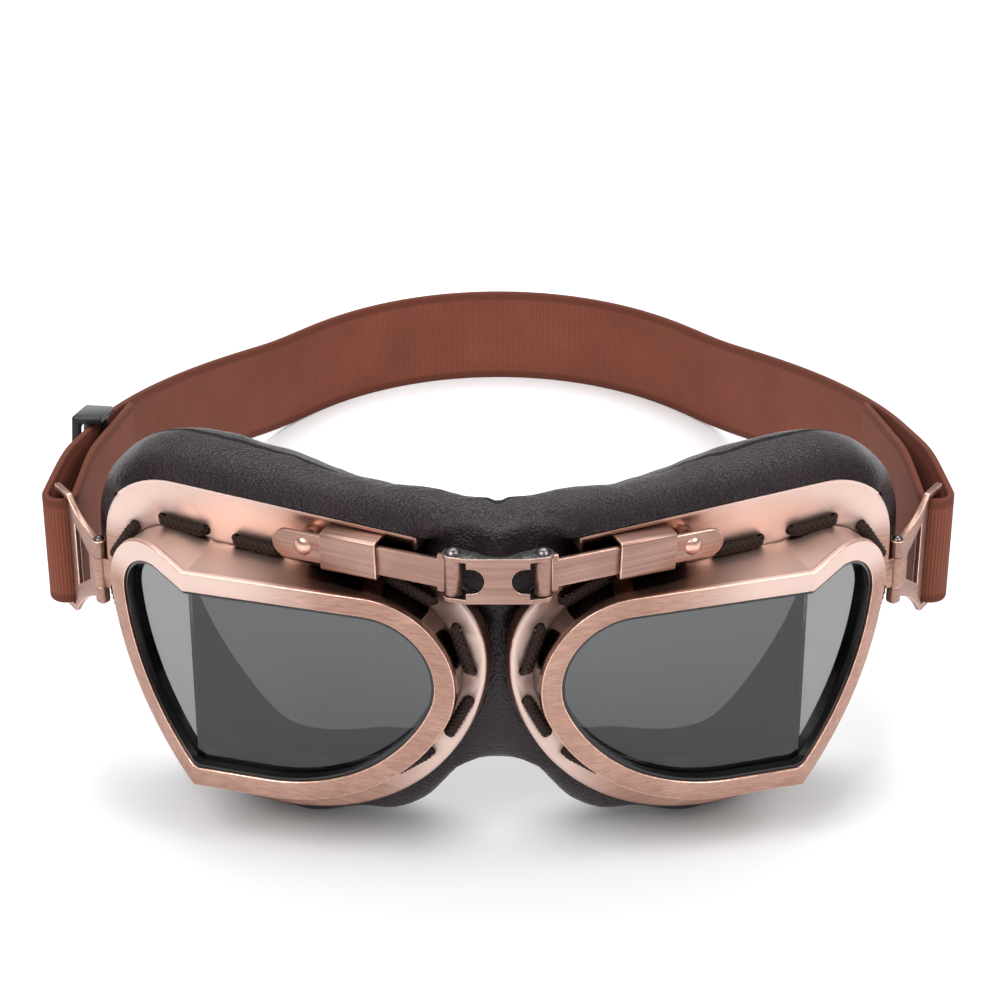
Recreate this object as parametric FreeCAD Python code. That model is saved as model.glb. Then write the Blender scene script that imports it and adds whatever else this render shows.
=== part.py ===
import FreeCAD, Part
import math
import os

os.makedirs("parts", exist_ok=True)
V = FreeCAD.Vector

# Sizes are millimetres. X runs to the wearer's left, Y runs back to the head, Z is up, the floor is Z = 0.
# Each cup is drawn in its own frame (u outwards, y back, w up) and then turned back about the bridge.

# Cup placing
CUP_YAW = 24.0
CUP_OFFSET = 2.9

# Rim, the bent front edge of the housing
RIM_TOP = 76.6
RIM_BOTTOM = 17.7
RIM_NOSE_U = 26.0
RIM_NOSE_R = 21.5
RIM_CHEEK_R = 48.0
RIM_TEMPLE_U = 78.5
RIM_TEMPLE_R = 17.0
RIM_BROW_RISE = 1.5
RIM_JAW_RISE = 0.2
RIM_JAW_BULGE = (88.0, 37.0)
RIM_WIDTH = 4.9
RIM_T = 2.0
BEND_U = 68.4
BEND_DEPTH = 17.0
NOSE_DEPTH = 7.0
TEMPLE_DEPTH = 4.0

# Housing wall and its turned foot
WALL_INSET = 1.2
WALL_RISE = 0.6
WALL_T = 1.2
FOOT_REACH = 0.4
FOOT_T = 1.0

# Gasket and panes
GASKET_T = 3.6
GASKET_LIP = 0.8
GASKET_LIP_SET = 0.6
PANE_T = 2.0
PANE_DEPTH = 2.9
PANE_TUCK = 0.7
PANE_GAP = 0.1

# Flange, the pressed face plate
FLANGE_T = 1.6
FLANGE_TOP = 90.4
FLANGE_BOTTOM = 5.2
FLANGE_HORN_U = 16.0
FLANGE_NOSE_W = 60.0
FLANGE_NOSE_R = 22.0
FLANGE_CHEEK_R = 38.0
FLANGE_BELLY_R = 60.0
FLANGE_FLAT = 1.2
FLANGE_JAW_R = 16.0
FLANGE_TEMPLE_R = 70.0
FLANGE_TEMPLE_MARGIN = 3.5
FLANGE_TEMPLE_OUT = RIM_TEMPLE_U + RIM_TEMPLE_R + FLANGE_TEMPLE_MARGIN
FLANGE_CORNER_R = 20.0
SKIRT_T = 1.1
SKIRT_ROUND = 0.9
SKIRT_BACK = 3.7
LIP_T = 0.8
LIP_RISE = 2.0
LIP_FROM_W = 84.0

# Lace through the flange
LACE_D = 1.9
LACE_OUT = 1.25
LACE_STITCHES = 13
LACE_SHARE = 0.58
LACE_PHASE = 0.30
LACE_HOLE_D = 2.6
LACE_LIFT = 0.1
LACE_BEND_R = 1.4
LACE_TAIL = 3.0

# Bridge link, pins and arms
PIN_X = 10.0
PIN_Y = -2.6
PIN_R = 1.0
PIN_HEAD_R = 1.85
PIN_HEAD_H = 1.2
BRIDGE_DROP = 5.1
BRIDGE_Z = FLANGE_TOP - BRIDGE_DROP
LINK_H = 11.6
LINK_HALF = 7.1
LINK_T = 1.0
LINK_FRONT = -5.8
LINK_WEB = 3.0
LINK_NOTCH_H = 6.4
LUG_R = 2.4
KNUCKLE_R = 2.0
ARM_H = 7.0
ARM_T = 1.2
ARM_END_U = 50.5
ARM_FLARE = 3.6
ARM_TILT = 2.2
KEEPER_U = (24.0, 38.0)
KEEPER_WALL = 0.9
STUD_U = 42.8
STUD_R = 1.3
STUD_HEAD_R = 2.2
STUD_HEAD_H = 1.0
STUD_COLLAR_R = 2.6
STUD_SPIGOT_R = 1.0

# Buckle on the temple
HINGE_OUT = 2.2
HINGE_U = FLANGE_TEMPLE_OUT + HINGE_OUT
HINGE_Y = 1.0
HINGE_Z = 59.5
HINGE_H = 17.0
HINGE_PIN_R = 0.8
HINGE_HEAD_R = 1.3
HINGE_HEAD_H = 0.8
BARREL_R = 1.7
EAR_H = 8.0
BUCKLE_YAW = 56.0
BUCKLE_T = 1.4
BUCKLE_REACH = 21.1
BUCKLE_BAR = 2.7
BUCKLE_SLOT = 3.9
BUCKLE_END_H = 33.0
BUCKLE_END_Z = 57.0
BUCKLE_HOLLOW = 1.6
BUCKLE_NECK = 2.2
WINDOW_A = (5.0, 11.6)
WINDOW_H = (7.0, 17.0)

# Face pad
PAD_SET = 2.9
PAD_TOP = FLANGE_TOP - PAD_SET
PAD_NOSE_R = 14.0
PAD_FILL = ((0.0, -0.5), (3.6, 4.8), (8.8, 8.0), (16.6, 5.2), (23.2, -3.0))
PAD_HOLE = ((0.0, -9.0), (8.8, -11.0), (23.2, -7.0))
LEATHER_T = 1.2
PAD_SPLIT = 9.6
NOSE_GAP = 0.3
NOSE_FRONT = 7.5
NOSE_BACK = 24.0
NOSE_TOP = 95.0
NOSE_ARCH = 29.0

# Strap and slider
STRAP_W = 29.0
STRAP_T = 1.6
STRAP_LOOP_R = 3.6
STRAP_SIDE = (104.0, 110.0)
STRAP_BACK_R = 78.0
STRAP_BACK_Y = 255.0
STRAP_TAIL_Y = 135.0
STRAP_TAIL_GAP = 2.2
STRAP_LEVEL_Y = 80.0
STRAP_DOWN_Y = 223.0
STRAP_EASE_R = 120.0
SLIDER_Y = 106.0
SLIDER_L = 15.0
SLIDER_BAR = 2.4
SLIDER_MID_T = 1.8
SLIDER_RAIL = 2.2
SLIDER_PROUD = 7.0

# Clearances
FIT = 0.05
RUN = 0.1
SEAT = 0.05
FAR = 400.0


# Flat outlines in the plane of the flange
def at(u, w, y=0.0):
    return V(u, y, w)


def line(p, q):
    return Part.LineSegment(p, q).toShape()


def arc_through(p, mid, q):
    return Part.Arc(p, mid, q).toShape()


def arc_about(centre, radius, start, end):
    angles = (start, 0.5 * (start + end), end)
    points = [centre + V(radius * math.cos(a), 0, radius * math.sin(a)) for a in angles]
    return arc_through(*points)


def bearing(centre, point):
    return math.atan2(point.z - centre.z, point.x - centre.x)


def prism(wire, y0, y1):
    face = Part.Face(wire)
    face.translate(V(0, y0, 0))
    return face.extrude(V(0, y1 - y0, 0))


def grown(wire, d):
    return wire.makeOffset2D(d, 2) if d else wire


def slab(x0, x1, y0, y1, z0, z1):
    return Part.makeBox(x1 - x0, y1 - y0, z1 - z0, V(x0, y0, z0))


def post(x, y, z0, z1, radius):
    return Part.makeCylinder(radius, z1 - z0, V(x, y, z0))


def peg(u, w, y0, y1, radius):
    return Part.makeCylinder(radius, y1 - y0, V(u, y0, w), V(0, 1, 0))


def dome(base, axis, radius, height):
    ball_r = (radius ** 2 + height ** 2) / (2 * height)
    ball = Part.makeSphere(ball_r, base + axis * (height - ball_r))
    return ball.common(Part.makeCylinder(radius * 1.5, height, base, axis))


def rim_outline():
    nose = at(RIM_NOSE_U, RIM_TOP - RIM_NOSE_R)
    cheek_w = RIM_BOTTOM + RIM_CHEEK_R
    span = math.sqrt((RIM_CHEEK_R - RIM_NOSE_R) ** 2 - (cheek_w - nose.z) ** 2)
    cheek = at(RIM_NOSE_U + span, cheek_w)
    temple = at(RIM_TEMPLE_U, RIM_TOP + RIM_BROW_RISE - RIM_TEMPLE_R)
    meet = bearing(cheek, nose) + 2 * math.pi
    brow = at(BEND_U, RIM_TOP)
    jaw = at(BEND_U, RIM_BOTTOM + RIM_JAW_RISE)
    temple_top = at(temple.x, temple.z + RIM_TEMPLE_R)
    temple_out = at(temple.x + RIM_TEMPLE_R, temple.z)
    low = at(cheek.x, RIM_BOTTOM)
    return Part.Wire([
        line(at(RIM_NOSE_U, RIM_TOP), brow),
        line(brow, temple_top),
        arc_about(temple, RIM_TEMPLE_R, math.pi / 2, 0.0),
        arc_through(temple_out, at(*RIM_JAW_BULGE), jaw),
        line(jaw, low),
        arc_about(cheek, RIM_CHEEK_R, 1.5 * math.pi, meet),
        arc_about(nose, RIM_NOSE_R, meet, math.pi / 2),
    ])


def face_chain(d, top, horned):
    # The flange's outline, or the pad's where the nose corner is round, grown by d about fixed centres
    cheek = at(FLANGE_CHEEK_R, FLANGE_NOSE_W)
    belly_w = FLANGE_BOTTOM + FLANGE_BELLY_R
    belly_r = FLANGE_BELLY_R - FLANGE_CHEEK_R
    belly = at(cheek.x + math.sqrt(belly_r ** 2 - (belly_w - cheek.z) ** 2), belly_w)
    jaw = at(belly.x + FLANGE_FLAT, FLANGE_BOTTOM + FLANGE_JAW_R)
    jaw_r = FLANGE_TEMPLE_R - FLANGE_JAW_R
    temple_u = FLANGE_TEMPLE_OUT - FLANGE_TEMPLE_R
    temple = at(temple_u, jaw.z + math.sqrt(jaw_r ** 2 - (jaw.x - temple_u) ** 2))
    corner_w = top - FLANGE_CORNER_R
    corner_r = FLANGE_TEMPLE_R - FLANGE_CORNER_R
    corner = at(temple.x + math.sqrt(corner_r ** 2 - (corner_w - temple.z) ** 2), corner_w)
    to_corner = bearing(temple, corner)
    to_jaw = bearing(temple, jaw)
    to_cheek = bearing(belly, cheek) + 2 * math.pi
    edges = [
        arc_about(corner, FLANGE_CORNER_R + d, math.pi / 2, to_corner),
        arc_about(temple, FLANGE_TEMPLE_R + d, to_corner, to_jaw),
        arc_about(jaw, FLANGE_JAW_R + d, to_jaw, -math.pi / 2),
        line(at(jaw.x, FLANGE_BOTTOM - d), at(belly.x, FLANGE_BOTTOM - d)),
        arc_about(belly, FLANGE_BELLY_R + d, 1.5 * math.pi, to_cheek),
        arc_about(cheek, FLANGE_CHEEK_R + d, to_cheek, math.pi),
    ]
    if horned:
        nose = at(FLANGE_NOSE_R, FLANGE_NOSE_W)
        horn = at(FLANGE_HORN_U - d, top + d)
        shoulder = math.acos((horn.x - nose.x) / (FLANGE_NOSE_R + d))
        foot = nose + V(horn.x - nose.x, 0, (FLANGE_NOSE_R + d) * math.sin(shoulder))
        edges.append(arc_about(nose, FLANGE_NOSE_R + d, math.pi, shoulder))
        edges.append(line(foot, horn))
        edges.append(line(horn, at(corner.x, top + d)))
    else:
        nose = at(PAD_NOSE_R, top - PAD_NOSE_R)
        edges.append(line(at(-d, cheek.z), at(-d, nose.z)))
        edges.append(arc_about(nose, PAD_NOSE_R + d, math.pi, math.pi / 2))
        edges.append(line(at(nose.x, top + d), at(corner.x, top + d)))
    return Part.Wire(edges)


# The bent front: everything behind it, set back by a depth
RIM_NOSE_EDGE = RIM_NOSE_U - RIM_NOSE_R
RIM_TEMPLE_EDGE = RIM_TEMPLE_U + RIM_TEMPLE_R


def front_y(u):
    if u < BEND_U:
        rate = (BEND_DEPTH - NOSE_DEPTH) / (BEND_U - RIM_NOSE_EDGE)
    else:
        rate = (BEND_DEPTH - TEMPLE_DEPTH) / (RIM_TEMPLE_EDGE - BEND_U)
    return rate * abs(u - BEND_U) - BEND_DEPTH


def behind(depth):
    inner = RIM_NOSE_EDGE - RIM_NOSE_R
    outer = RIM_TEMPLE_EDGE + RIM_TEMPLE_R
    plan = [V(u, depth + front_y(u)) for u in (inner, BEND_U, outer)]
    plan += [V(outer, FAR), V(inner, FAR), plan[0]]
    return Part.Face(Part.makePolygon(plan)).extrude(V(0, 0, FAR))


def layer(near, deep):
    return behind(near).cut(behind(deep))


RIM = rim_outline()
FRONT = -FAR


def rim_prism(d, y1=FAR):
    return prism(grown(RIM, d), FRONT, y1)


def wall_prism(d, y0=FRONT, y1=FAR):
    # The wall stands a little higher than the rim's middle, so it is nearly flush along the brow
    track = grown(RIM, d - WALL_INSET)
    track.translate(V(0, 0, WALL_RISE))
    return prism(track, y0, y1)


def housing():
    inner = grown(RIM, -RIM_WIDTH)
    rim = rim_prism(0).common(layer(0, RIM_T)).cut(prism(inner, FRONT, FAR))
    foot_back = FLANGE_T + SEAT + FOOT_T
    wall = wall_prism(0, FRONT, foot_back).common(behind(RIM_T / 2))
    foot = wall_prism(FOOT_REACH, FLANGE_T + SEAT, foot_back)
    body = wall.fuse(foot).cut(wall_prism(-WALL_T))
    return rim.fuse(body).removeSplitter()


def pane_block():
    return rim_prism(PANE_TUCK - RIM_WIDTH).common(layer(PANE_DEPTH, PANE_DEPTH + PANE_T))


def panes():
    block = pane_block()
    split = slab(BEND_U - PANE_GAP / 2, BEND_U + PANE_GAP / 2, FRONT, FAR, 0, FAR)
    solids = sorted(block.cut(split).Solids, key=lambda s: s.CenterOfMass.x)
    return solids


def gasket():
    clear = rim_prism(-RIM_WIDTH - GASKET_LIP)
    seat = wall_prism(-WALL_T - FIT).common(layer(RIM_T, RIM_T + GASKET_T))
    lip = rim_prism(-RIM_WIDTH - FIT).common(layer(GASKET_LIP_SET, RIM_T))
    return seat.fuse(lip).cut(clear).cut(pane_block()).removeSplitter()


# Lace route: front stitches and back stitches through a row of holes
LACE_FRONT = -(LACE_D / 2 + LACE_LIFT)
LACE_BACK = FLANGE_T + LACE_D / 2 + LACE_LIFT


def lace_holes():
    track = grown(RIM, LACE_OUT)
    steps = 100
    points = track.discretize(LACE_STITCHES * steps + 1)[:-1]
    holes = []
    for k in range(LACE_STITCHES):
        start = int((k + LACE_PHASE) * steps)
        holes.append(points[start % len(points)])
        holes.append(points[int(start + LACE_SHARE * steps) % len(points)])
    return holes


def eased_path(points, radius):
    edges = []
    last = points[0]
    for a, b, c in zip(points, points[1:], points[2:]):
        back = (a - b).normalize()
        ahead = (c - b).normalize()
        half = back.getAngle(ahead) / 2
        run = radius / math.tan(half)
        middle = (back + ahead).normalize()
        centre = b + middle * (radius / math.sin(half))
        start = b + back * run
        end = b + ahead * run
        edges.append(line(last, start))
        edges.append(arc_through(start, centre - middle * radius, end))
        last = end
    edges.append(line(last, points[-1]))
    return Part.Wire(edges)


def lace():
    holes = lace_holes()
    first, final = holes[0], holes[-1]
    toward = (first - final).normalize()
    route = [first - toward * LACE_TAIL + V(0, LACE_BACK, 0)]
    for i, hole in enumerate(holes):
        order = (LACE_BACK, LACE_FRONT) if i % 2 == 0 else (LACE_FRONT, LACE_BACK)
        route += [hole + V(0, y, 0) for y in order]
    route.append(final + toward * LACE_TAIL + V(0, LACE_BACK, 0))
    path = eased_path(route, LACE_BEND_R)
    way = (route[1] - route[0]).normalize()
    ring = Part.Wire(Part.makeCircle(LACE_D / 2, route[0], way))
    tube = path.makePipeShell([ring], True, False)
    print("lace", round(tube.Volume / (math.pi * LACE_D ** 2 / 4), 1), round(path.Length, 1))
    return tube


def top_edge(edge):
    return edge.BoundBox.ZMax > LIP_FROM_W


def flange():
    outline = face_chain(0, FLANGE_TOP, True)
    block = prism(outline, 0, SKIRT_BACK)
    edge = [e for e in block.Edges if e.BoundBox.YMax < FIT and not top_edge(e)]
    shell = block.makeFillet(SKIRT_ROUND, edge)
    shell = shell.cut(prism(face_chain(-SKIRT_T, FLANGE_TOP, True), FLANGE_T, FAR))
    lip = prism(outline, -LIP_RISE, 0).cut(prism(face_chain(-LIP_T, FLANGE_TOP, True), -FAR, FAR))
    lip = lip.common(slab(-FAR, FAR, -FAR, FAR, LIP_FROM_W, FAR))
    ear_z0 = HINGE_Z - EAR_H / 2
    tab = slab(RIM_TEMPLE_U, HINGE_U, 0, FLANGE_T, ear_z0, ear_z0 + EAR_H)
    barrel = post(HINGE_U, HINGE_Y, ear_z0, ear_z0 + EAR_H, BARREL_R)
    body = shell.fuse([lip, tab, barrel])
    cuts = [wall_prism(FIT)]
    cuts += [peg(h.x, h.z, -1, SKIRT_BACK, LACE_HOLE_D / 2) for h in lace_holes()]
    cuts.append(peg(STUD_U, STUD_Z, -1, FLANGE_T + 1, STUD_SPIGOT_R + FIT))
    cuts.append(post(HINGE_U, HINGE_Y, 0, FAR, HINGE_PIN_R + FIT))
    return body.cut(cuts).removeSplitter()


# Placing a cup's shapes in the whole
def placed(shape):
    shape = shape.copy()
    shape.rotate(V(0, 0, 0), V(0, 0, 1), CUP_YAW)
    shape.translate(V(CUP_OFFSET, 0, 0))
    return shape


def in_cup(x, y):
    turn = math.radians(CUP_YAW)
    dx = x - CUP_OFFSET
    u = dx * math.cos(turn) + y * math.sin(turn)
    return u, y * math.cos(turn) - dx * math.sin(turn)


ARM_U, ARM_Y = in_cup(PIN_X, PIN_Y)
ARM_FRONT = ARM_Y - ARM_T / 2
ARM_BACK = ARM_Y + ARM_T / 2
LINK_Z0 = BRIDGE_Z - LINK_H / 2
LINK_Z1 = BRIDGE_Z + LINK_H / 2
KNUCKLE_Z0 = LINK_Z0 + LINK_T + RUN
KNUCKLE_Z1 = LINK_Z1 - LINK_T - RUN
STUD_Z = BRIDGE_Z - (STUD_U - ARM_U) * math.tan(math.radians(ARM_TILT))


def tilted(shape):
    # The arm falls a little from its pin to its stud
    shape.rotate(V(ARM_U, 0, BRIDGE_Z), V(0, 1, 0), ARM_TILT)
    return shape


def bridge_arm():
    end_u = ARM_END_U - ARM_H / 2
    strip = slab(ARM_U, end_u, ARM_FRONT, ARM_BACK, BRIDGE_Z - ARM_H / 2, BRIDGE_Z + ARM_H / 2)
    tip = peg(end_u, BRIDGE_Z, ARM_FRONT, ARM_BACK, ARM_H / 2)
    flare = slab(ARM_U, ARM_U + ARM_FLARE, ARM_FRONT, ARM_BACK, KNUCKLE_Z0, KNUCKLE_Z1)
    knuckle = post(ARM_U, ARM_Y, KNUCKLE_Z0, KNUCKLE_Z1, KNUCKLE_R)
    arm = tilted(strip.fuse(tip)).fuse([flare, knuckle])
    arm = arm.cut(post(ARM_U, ARM_Y, 0, FAR, PIN_R + FIT))
    return arm.cut(peg(STUD_U, STUD_Z, -FAR, FAR, STUD_R + FIT)).removeSplitter()


KEEPER_HALF = ARM_H / 2 + 0.4 + KEEPER_WALL
KEEPER_FRONT = ARM_FRONT - RUN - KEEPER_WALL


def arm_keeper():
    u0, u1 = KEEPER_U
    block = slab(u0, u1, KEEPER_FRONT, 0, BRIDGE_Z - KEEPER_HALF, BRIDGE_Z + KEEPER_HALF)
    inner = KEEPER_HALF - KEEPER_WALL
    way = slab(u0 - 1, u1 + 1, ARM_FRONT - RUN, 1, BRIDGE_Z - inner, BRIDGE_Z + inner)
    corners = [e for e in block.Edges if abs(e.CenterOfMass.y - KEEPER_FRONT) < FIT]
    rounded = [e for e in corners if abs(e.CenterOfMass.z - BRIDGE_Z) > inner]
    return tilted(block.makeFillet(KEEPER_WALL, rounded).cut(way))


def arm_stud():
    collar = peg(STUD_U, STUD_Z, ARM_BACK, 0, STUD_COLLAR_R)
    shank = peg(STUD_U, STUD_Z, ARM_FRONT, ARM_BACK, STUD_R)
    spigot = peg(STUD_U, STUD_Z, 0, FLANGE_T, STUD_SPIGOT_R)
    head = dome(V(STUD_U, ARM_FRONT, STUD_Z), V(0, -1, 0), STUD_HEAD_R, STUD_HEAD_H)
    return collar.fuse([shank, spigot, head]).removeSplitter()


def bridge_link():
    plate = slab(-LINK_HALF, LINK_HALF, LINK_FRONT, LINK_FRONT + LINK_T, LINK_Z0, LINK_Z1)
    for side in (-1, 1):
        notch_r = LINK_NOTCH_H / 2
        notch = peg(side * (LINK_WEB + notch_r), BRIDGE_Z, -FAR, FAR, notch_r)
        mouth = slab(0, FAR, -FAR, FAR, BRIDGE_Z - notch_r, BRIDGE_Z + notch_r)
        mouth.translate(V(LINK_WEB + notch_r, 0, 0))
        if side < 0:
            mouth = mouth.mirror(V(0, 0, 0), V(1, 0, 0))
        plate = plate.cut([notch, mouth])
    pieces = []
    for z0 in (LINK_Z0, LINK_Z1 - LINK_T):
        band = slab(-LINK_HALF, LINK_HALF, LINK_FRONT, PIN_Y, z0, z0 + LINK_T)
        scoop = post(0, PIN_Y + LINK_HALF - LINK_WEB, z0 - 1, z0 + LINK_T + 1, LINK_HALF - LINK_T)
        pieces.append(band.cut(scoop))
        for side in (-1, 1):
            reach = Part.makePolygon([
                V(side * LINK_HALF, LINK_FRONT, z0),
                V(side * PIN_X, PIN_Y - LUG_R, z0),
                V(side * PIN_X, PIN_Y + LUG_R, z0),
                V(side * (LINK_HALF - LUG_R), PIN_Y, z0),
                V(side * LINK_HALF, LINK_FRONT, z0),
            ])
            pieces.append(Part.Face(reach).extrude(V(0, 0, LINK_T)))
            pieces.append(post(side * PIN_X, PIN_Y, z0, z0 + LINK_T, LUG_R))
    link = plate.fuse(pieces)
    holes = [post(side * PIN_X, PIN_Y, 0, FAR, PIN_R + FIT) for side in (-1, 1)]
    return link.cut(holes).removeSplitter()


def bridge_pin(side):
    shank = post(side * PIN_X, PIN_Y, LINK_Z0, LINK_Z1, PIN_R)
    top = dome(V(side * PIN_X, PIN_Y, LINK_Z1), V(0, 0, 1), PIN_HEAD_R, PIN_HEAD_H)
    under = dome(V(side * PIN_X, PIN_Y, LINK_Z0), V(0, 0, -1), PIN_HEAD_R, PIN_HEAD_H)
    return shank.fuse([top, under]).removeSplitter()


# Buckle, drawn along a from its hinge pin, then turned to its yaw
BAR_A = BUCKLE_REACH - BUCKLE_BAR / 2
SLOT_A = BUCKLE_REACH - BUCKLE_BAR - BUCKLE_SLOT


def buckle():
    half = HINGE_H / 2
    end_half = BUCKLE_END_H / 2
    tip = SLOT_A
    mid_a = (BUCKLE_NECK + tip) / 2
    mid_top = (HINGE_Z + half + BUCKLE_END_Z + end_half) / 2 - BUCKLE_HOLLOW
    mid_low = (HINGE_Z - half + BUCKLE_END_Z - end_half) / 2 + BUCKLE_HOLLOW
    corners = [at(BUCKLE_NECK, HINGE_Z + half), at(tip, BUCKLE_END_Z + end_half)]
    corners += [at(BUCKLE_REACH, BUCKLE_END_Z + end_half), at(BUCKLE_REACH, BUCKLE_END_Z - end_half)]
    corners += [at(tip, BUCKLE_END_Z - end_half), at(BUCKLE_NECK, HINGE_Z - half)]
    corners += [at(0, HINGE_Z - half), at(0, HINGE_Z + half)]
    outline = Part.Wire([
        arc_through(corners[0], at(mid_a, mid_top), corners[1]),
        line(corners[1], corners[2]),
        line(corners[2], corners[3]),
        line(corners[3], corners[4]),
        arc_through(corners[4], at(mid_a, mid_low), corners[5]),
        line(corners[5], corners[6]),
        line(corners[6], corners[7]),
        line(corners[7], corners[0]),
    ])
    plate = prism(outline, -BUCKLE_T / 2, BUCKLE_T / 2)
    a0, a1 = WINDOW_A
    h0, h1 = WINDOW_H
    mid = (HINGE_Z + BUCKLE_END_Z) / 2
    frame = [at(a0, mid - h0 / 2), at(a1, mid - h1 / 2), at(a1, mid + h1 / 2), at(a0, mid + h0 / 2)]
    window = Part.makePolygon(frame + frame[:1])
    slot_half = STRAP_W / 2 + 2 * RUN
    slot = slab(SLOT_A, SLOT_A + BUCKLE_SLOT, -FAR, FAR, BUCKLE_END_Z - slot_half, BUCKLE_END_Z + slot_half)
    barrel = post(0, 0, HINGE_Z - half, HINGE_Z + half, BARREL_R)
    body = plate.fuse(barrel).cut([prism(window, -FAR, FAR), slot])
    ear_half = EAR_H / 2 + RUN
    room = post(0, 0, HINGE_Z - ear_half, HINGE_Z + ear_half, BARREL_R + 4 * RUN)
    body = body.cut([room, post(0, 0, 0, FAR, HINGE_PIN_R + FIT)]).removeSplitter()
    body.rotate(V(0, 0, 0), V(0, 0, 1), BUCKLE_YAW - CUP_YAW)
    body.translate(V(HINGE_U, HINGE_Y, 0))
    return body


def buckle_pin():
    z0 = HINGE_Z - HINGE_H / 2 - RUN
    z1 = HINGE_Z + HINGE_H / 2 + RUN
    shank = post(HINGE_U, HINGE_Y, z0, z1, HINGE_PIN_R)
    top = dome(V(HINGE_U, HINGE_Y, z1), V(0, 0, 1), HINGE_HEAD_R, HINGE_HEAD_H)
    under = dome(V(HINGE_U, HINGE_Y, z0), V(0, 0, -1), HINGE_HEAD_R, HINGE_HEAD_H)
    return shank.fuse([top, under]).removeSplitter()


# Face pad: a crowned ring round the eye, leather over foam
PAD_FRONT = SKIRT_BACK + SEAT
PAD_DEPTH = PAD_FILL[-1][0]


def pad_loft(stations, more, start, end):
    wires = []
    for depth, d in stations:
        depth = min(max(depth, start), end)
        wire = face_chain(d + more, PAD_TOP, False)
        wire.translate(V(0, PAD_FRONT + depth, 0))
        wires.append(wire)
    return Part.makeLoft(wires, True, False)


def pad_pieces():
    whole = pad_loft(PAD_FILL, 0, 0, PAD_DEPTH)
    hole = pad_loft(PAD_HOLE, 0, 0, PAD_DEPTH)
    core = pad_loft(PAD_FILL, -LEATHER_T, 0, PAD_DEPTH - LEATHER_T)
    core_hole = pad_loft(PAD_HOLE, LEATHER_T, 0, PAD_DEPTH - LEATHER_T)
    foam = core.cut(core_hole)
    keep = slab(PAD_SPLIT, FAR, -FAR, FAR, 0, FAR)
    lifted = slab(PAD_SPLIT + LEATHER_T, FAR, -FAR, FAR, LEATHER_T, FAR)
    foam = placed(foam).common(lifted)
    ring = placed(whole.cut(hole)).common(keep)
    return ring.cut(foam).removeSplitter(), foam.removeSplitter()


def nose_pad():
    half = PAD_SPLIT - NOSE_GAP
    round_r = (NOSE_BACK - NOSE_FRONT) / 2
    mid_y = NOSE_FRONT + round_r
    body = slab(-half, half, NOSE_FRONT, NOSE_BACK, 0, NOSE_TOP - round_r)
    crown = Part.makeCylinder(round_r, 2 * half, V(-half, mid_y, NOSE_TOP - round_r), V(1, 0, 0))
    arch_r = 2 * half
    arch = Part.makeCylinder(arch_r, FAR, V(0, -FAR / 2, NOSE_ARCH - arch_r), V(0, 1, 0))
    under = slab(-half, half, -FAR, FAR, 0, NOSE_ARCH - arch_r)
    return body.fuse(crown).cut([arch, under]).removeSplitter()


# Strap: one band, folded round both buckle bars, with its ends sewn down inside
def turned(point, degrees):
    turn = math.radians(degrees)
    x = point.x * math.cos(turn) - point.y * math.sin(turn)
    return V(x, point.x * math.sin(turn) + point.y * math.cos(turn))


def on_circle(centre, radius, angle):
    return centre + V(radius * math.cos(angle), radius * math.sin(angle))


def tangent_angle(centre, radius, point, side):
    away = point - centre
    return math.atan2(away.y, away.x) + side * math.acos(radius / away.Length)


HINGE = turned(V(HINGE_U, HINGE_Y), CUP_YAW) + V(CUP_OFFSET, 0)
BAR = HINGE + turned(V(BAR_A, 0), BUCKLE_YAW)
SIDE = V(*STRAP_SIDE)
NAPE = V(0, STRAP_BACK_Y - STRAP_BACK_R)
OUT_ANGLE = tangent_angle(BAR, STRAP_LOOP_R, SIDE, -1)
SIDE_IN = V(-math.cos(OUT_ANGLE), -math.sin(OUT_ANGLE))
SIDE_REACH = SIDE - NAPE
SIDE_R = (STRAP_BACK_R ** 2 - SIDE_REACH.Length ** 2) / (2 * (SIDE_IN.dot(SIDE_REACH) + STRAP_BACK_R))
SIDE_CENTRE = SIDE + SIDE_IN * SIDE_R
NAPE_WAY = (NAPE - SIDE_CENTRE).normalize()
NAPE_ANGLE = math.atan2(NAPE_WAY.y, NAPE_WAY.x)


def on_side(y):
    return on_circle(SIDE_CENTRE, SIDE_R, math.asin((y - SIDE_CENTRE.y) / SIDE_R))


TAIL_TOP = on_side(STRAP_TAIL_Y)
TAIL = TAIL_TOP + (SIDE_CENTRE - TAIL_TOP).normalize() * STRAP_TAIL_GAP
IN_ANGLE = tangent_angle(BAR, STRAP_LOOP_R, TAIL, 1)


def strap_side(out):
    # One face of the band on the left of the head, from the sewn end to the nape, set off the middle line
    inner = on_circle(BAR, STRAP_LOOP_R + out, IN_ANGLE)
    outer = on_circle(BAR, STRAP_LOOP_R + out, OUT_ANGLE)
    front = on_circle(BAR, STRAP_LOOP_R + out, (IN_ANGLE + OUT_ANGLE + 2 * math.pi) / 2)
    tail = TAIL + on_circle(V(0, 0), out, IN_ANGLE)
    side = SIDE - SIDE_IN * out
    side_angle = math.atan2(-SIDE_IN.y, -SIDE_IN.x)
    middle = on_circle(SIDE_CENTRE, SIDE_R + out, (side_angle + NAPE_ANGLE) / 2)
    turn = on_circle(NAPE, STRAP_BACK_R + out, NAPE_ANGLE)
    return tail, turn, [
        line(tail, inner),
        arc_through(inner, front, outer),
        line(outer, side),
        arc_through(side, middle, turn),
    ]


def strap_face(out):
    tail, turn, edges = strap_side(out)
    far = [e.mirror(V(0, 0, 0), V(1, 0, 0)) for e in edges]
    nape = arc_through(turn, NAPE + V(0, STRAP_BACK_R + out), V(-turn.x, turn.y))
    return tail, edges + [nape] + far


def mirrored(shape):
    return shape.mirror(V(0, 0, 0), V(1, 0, 0))


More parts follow.
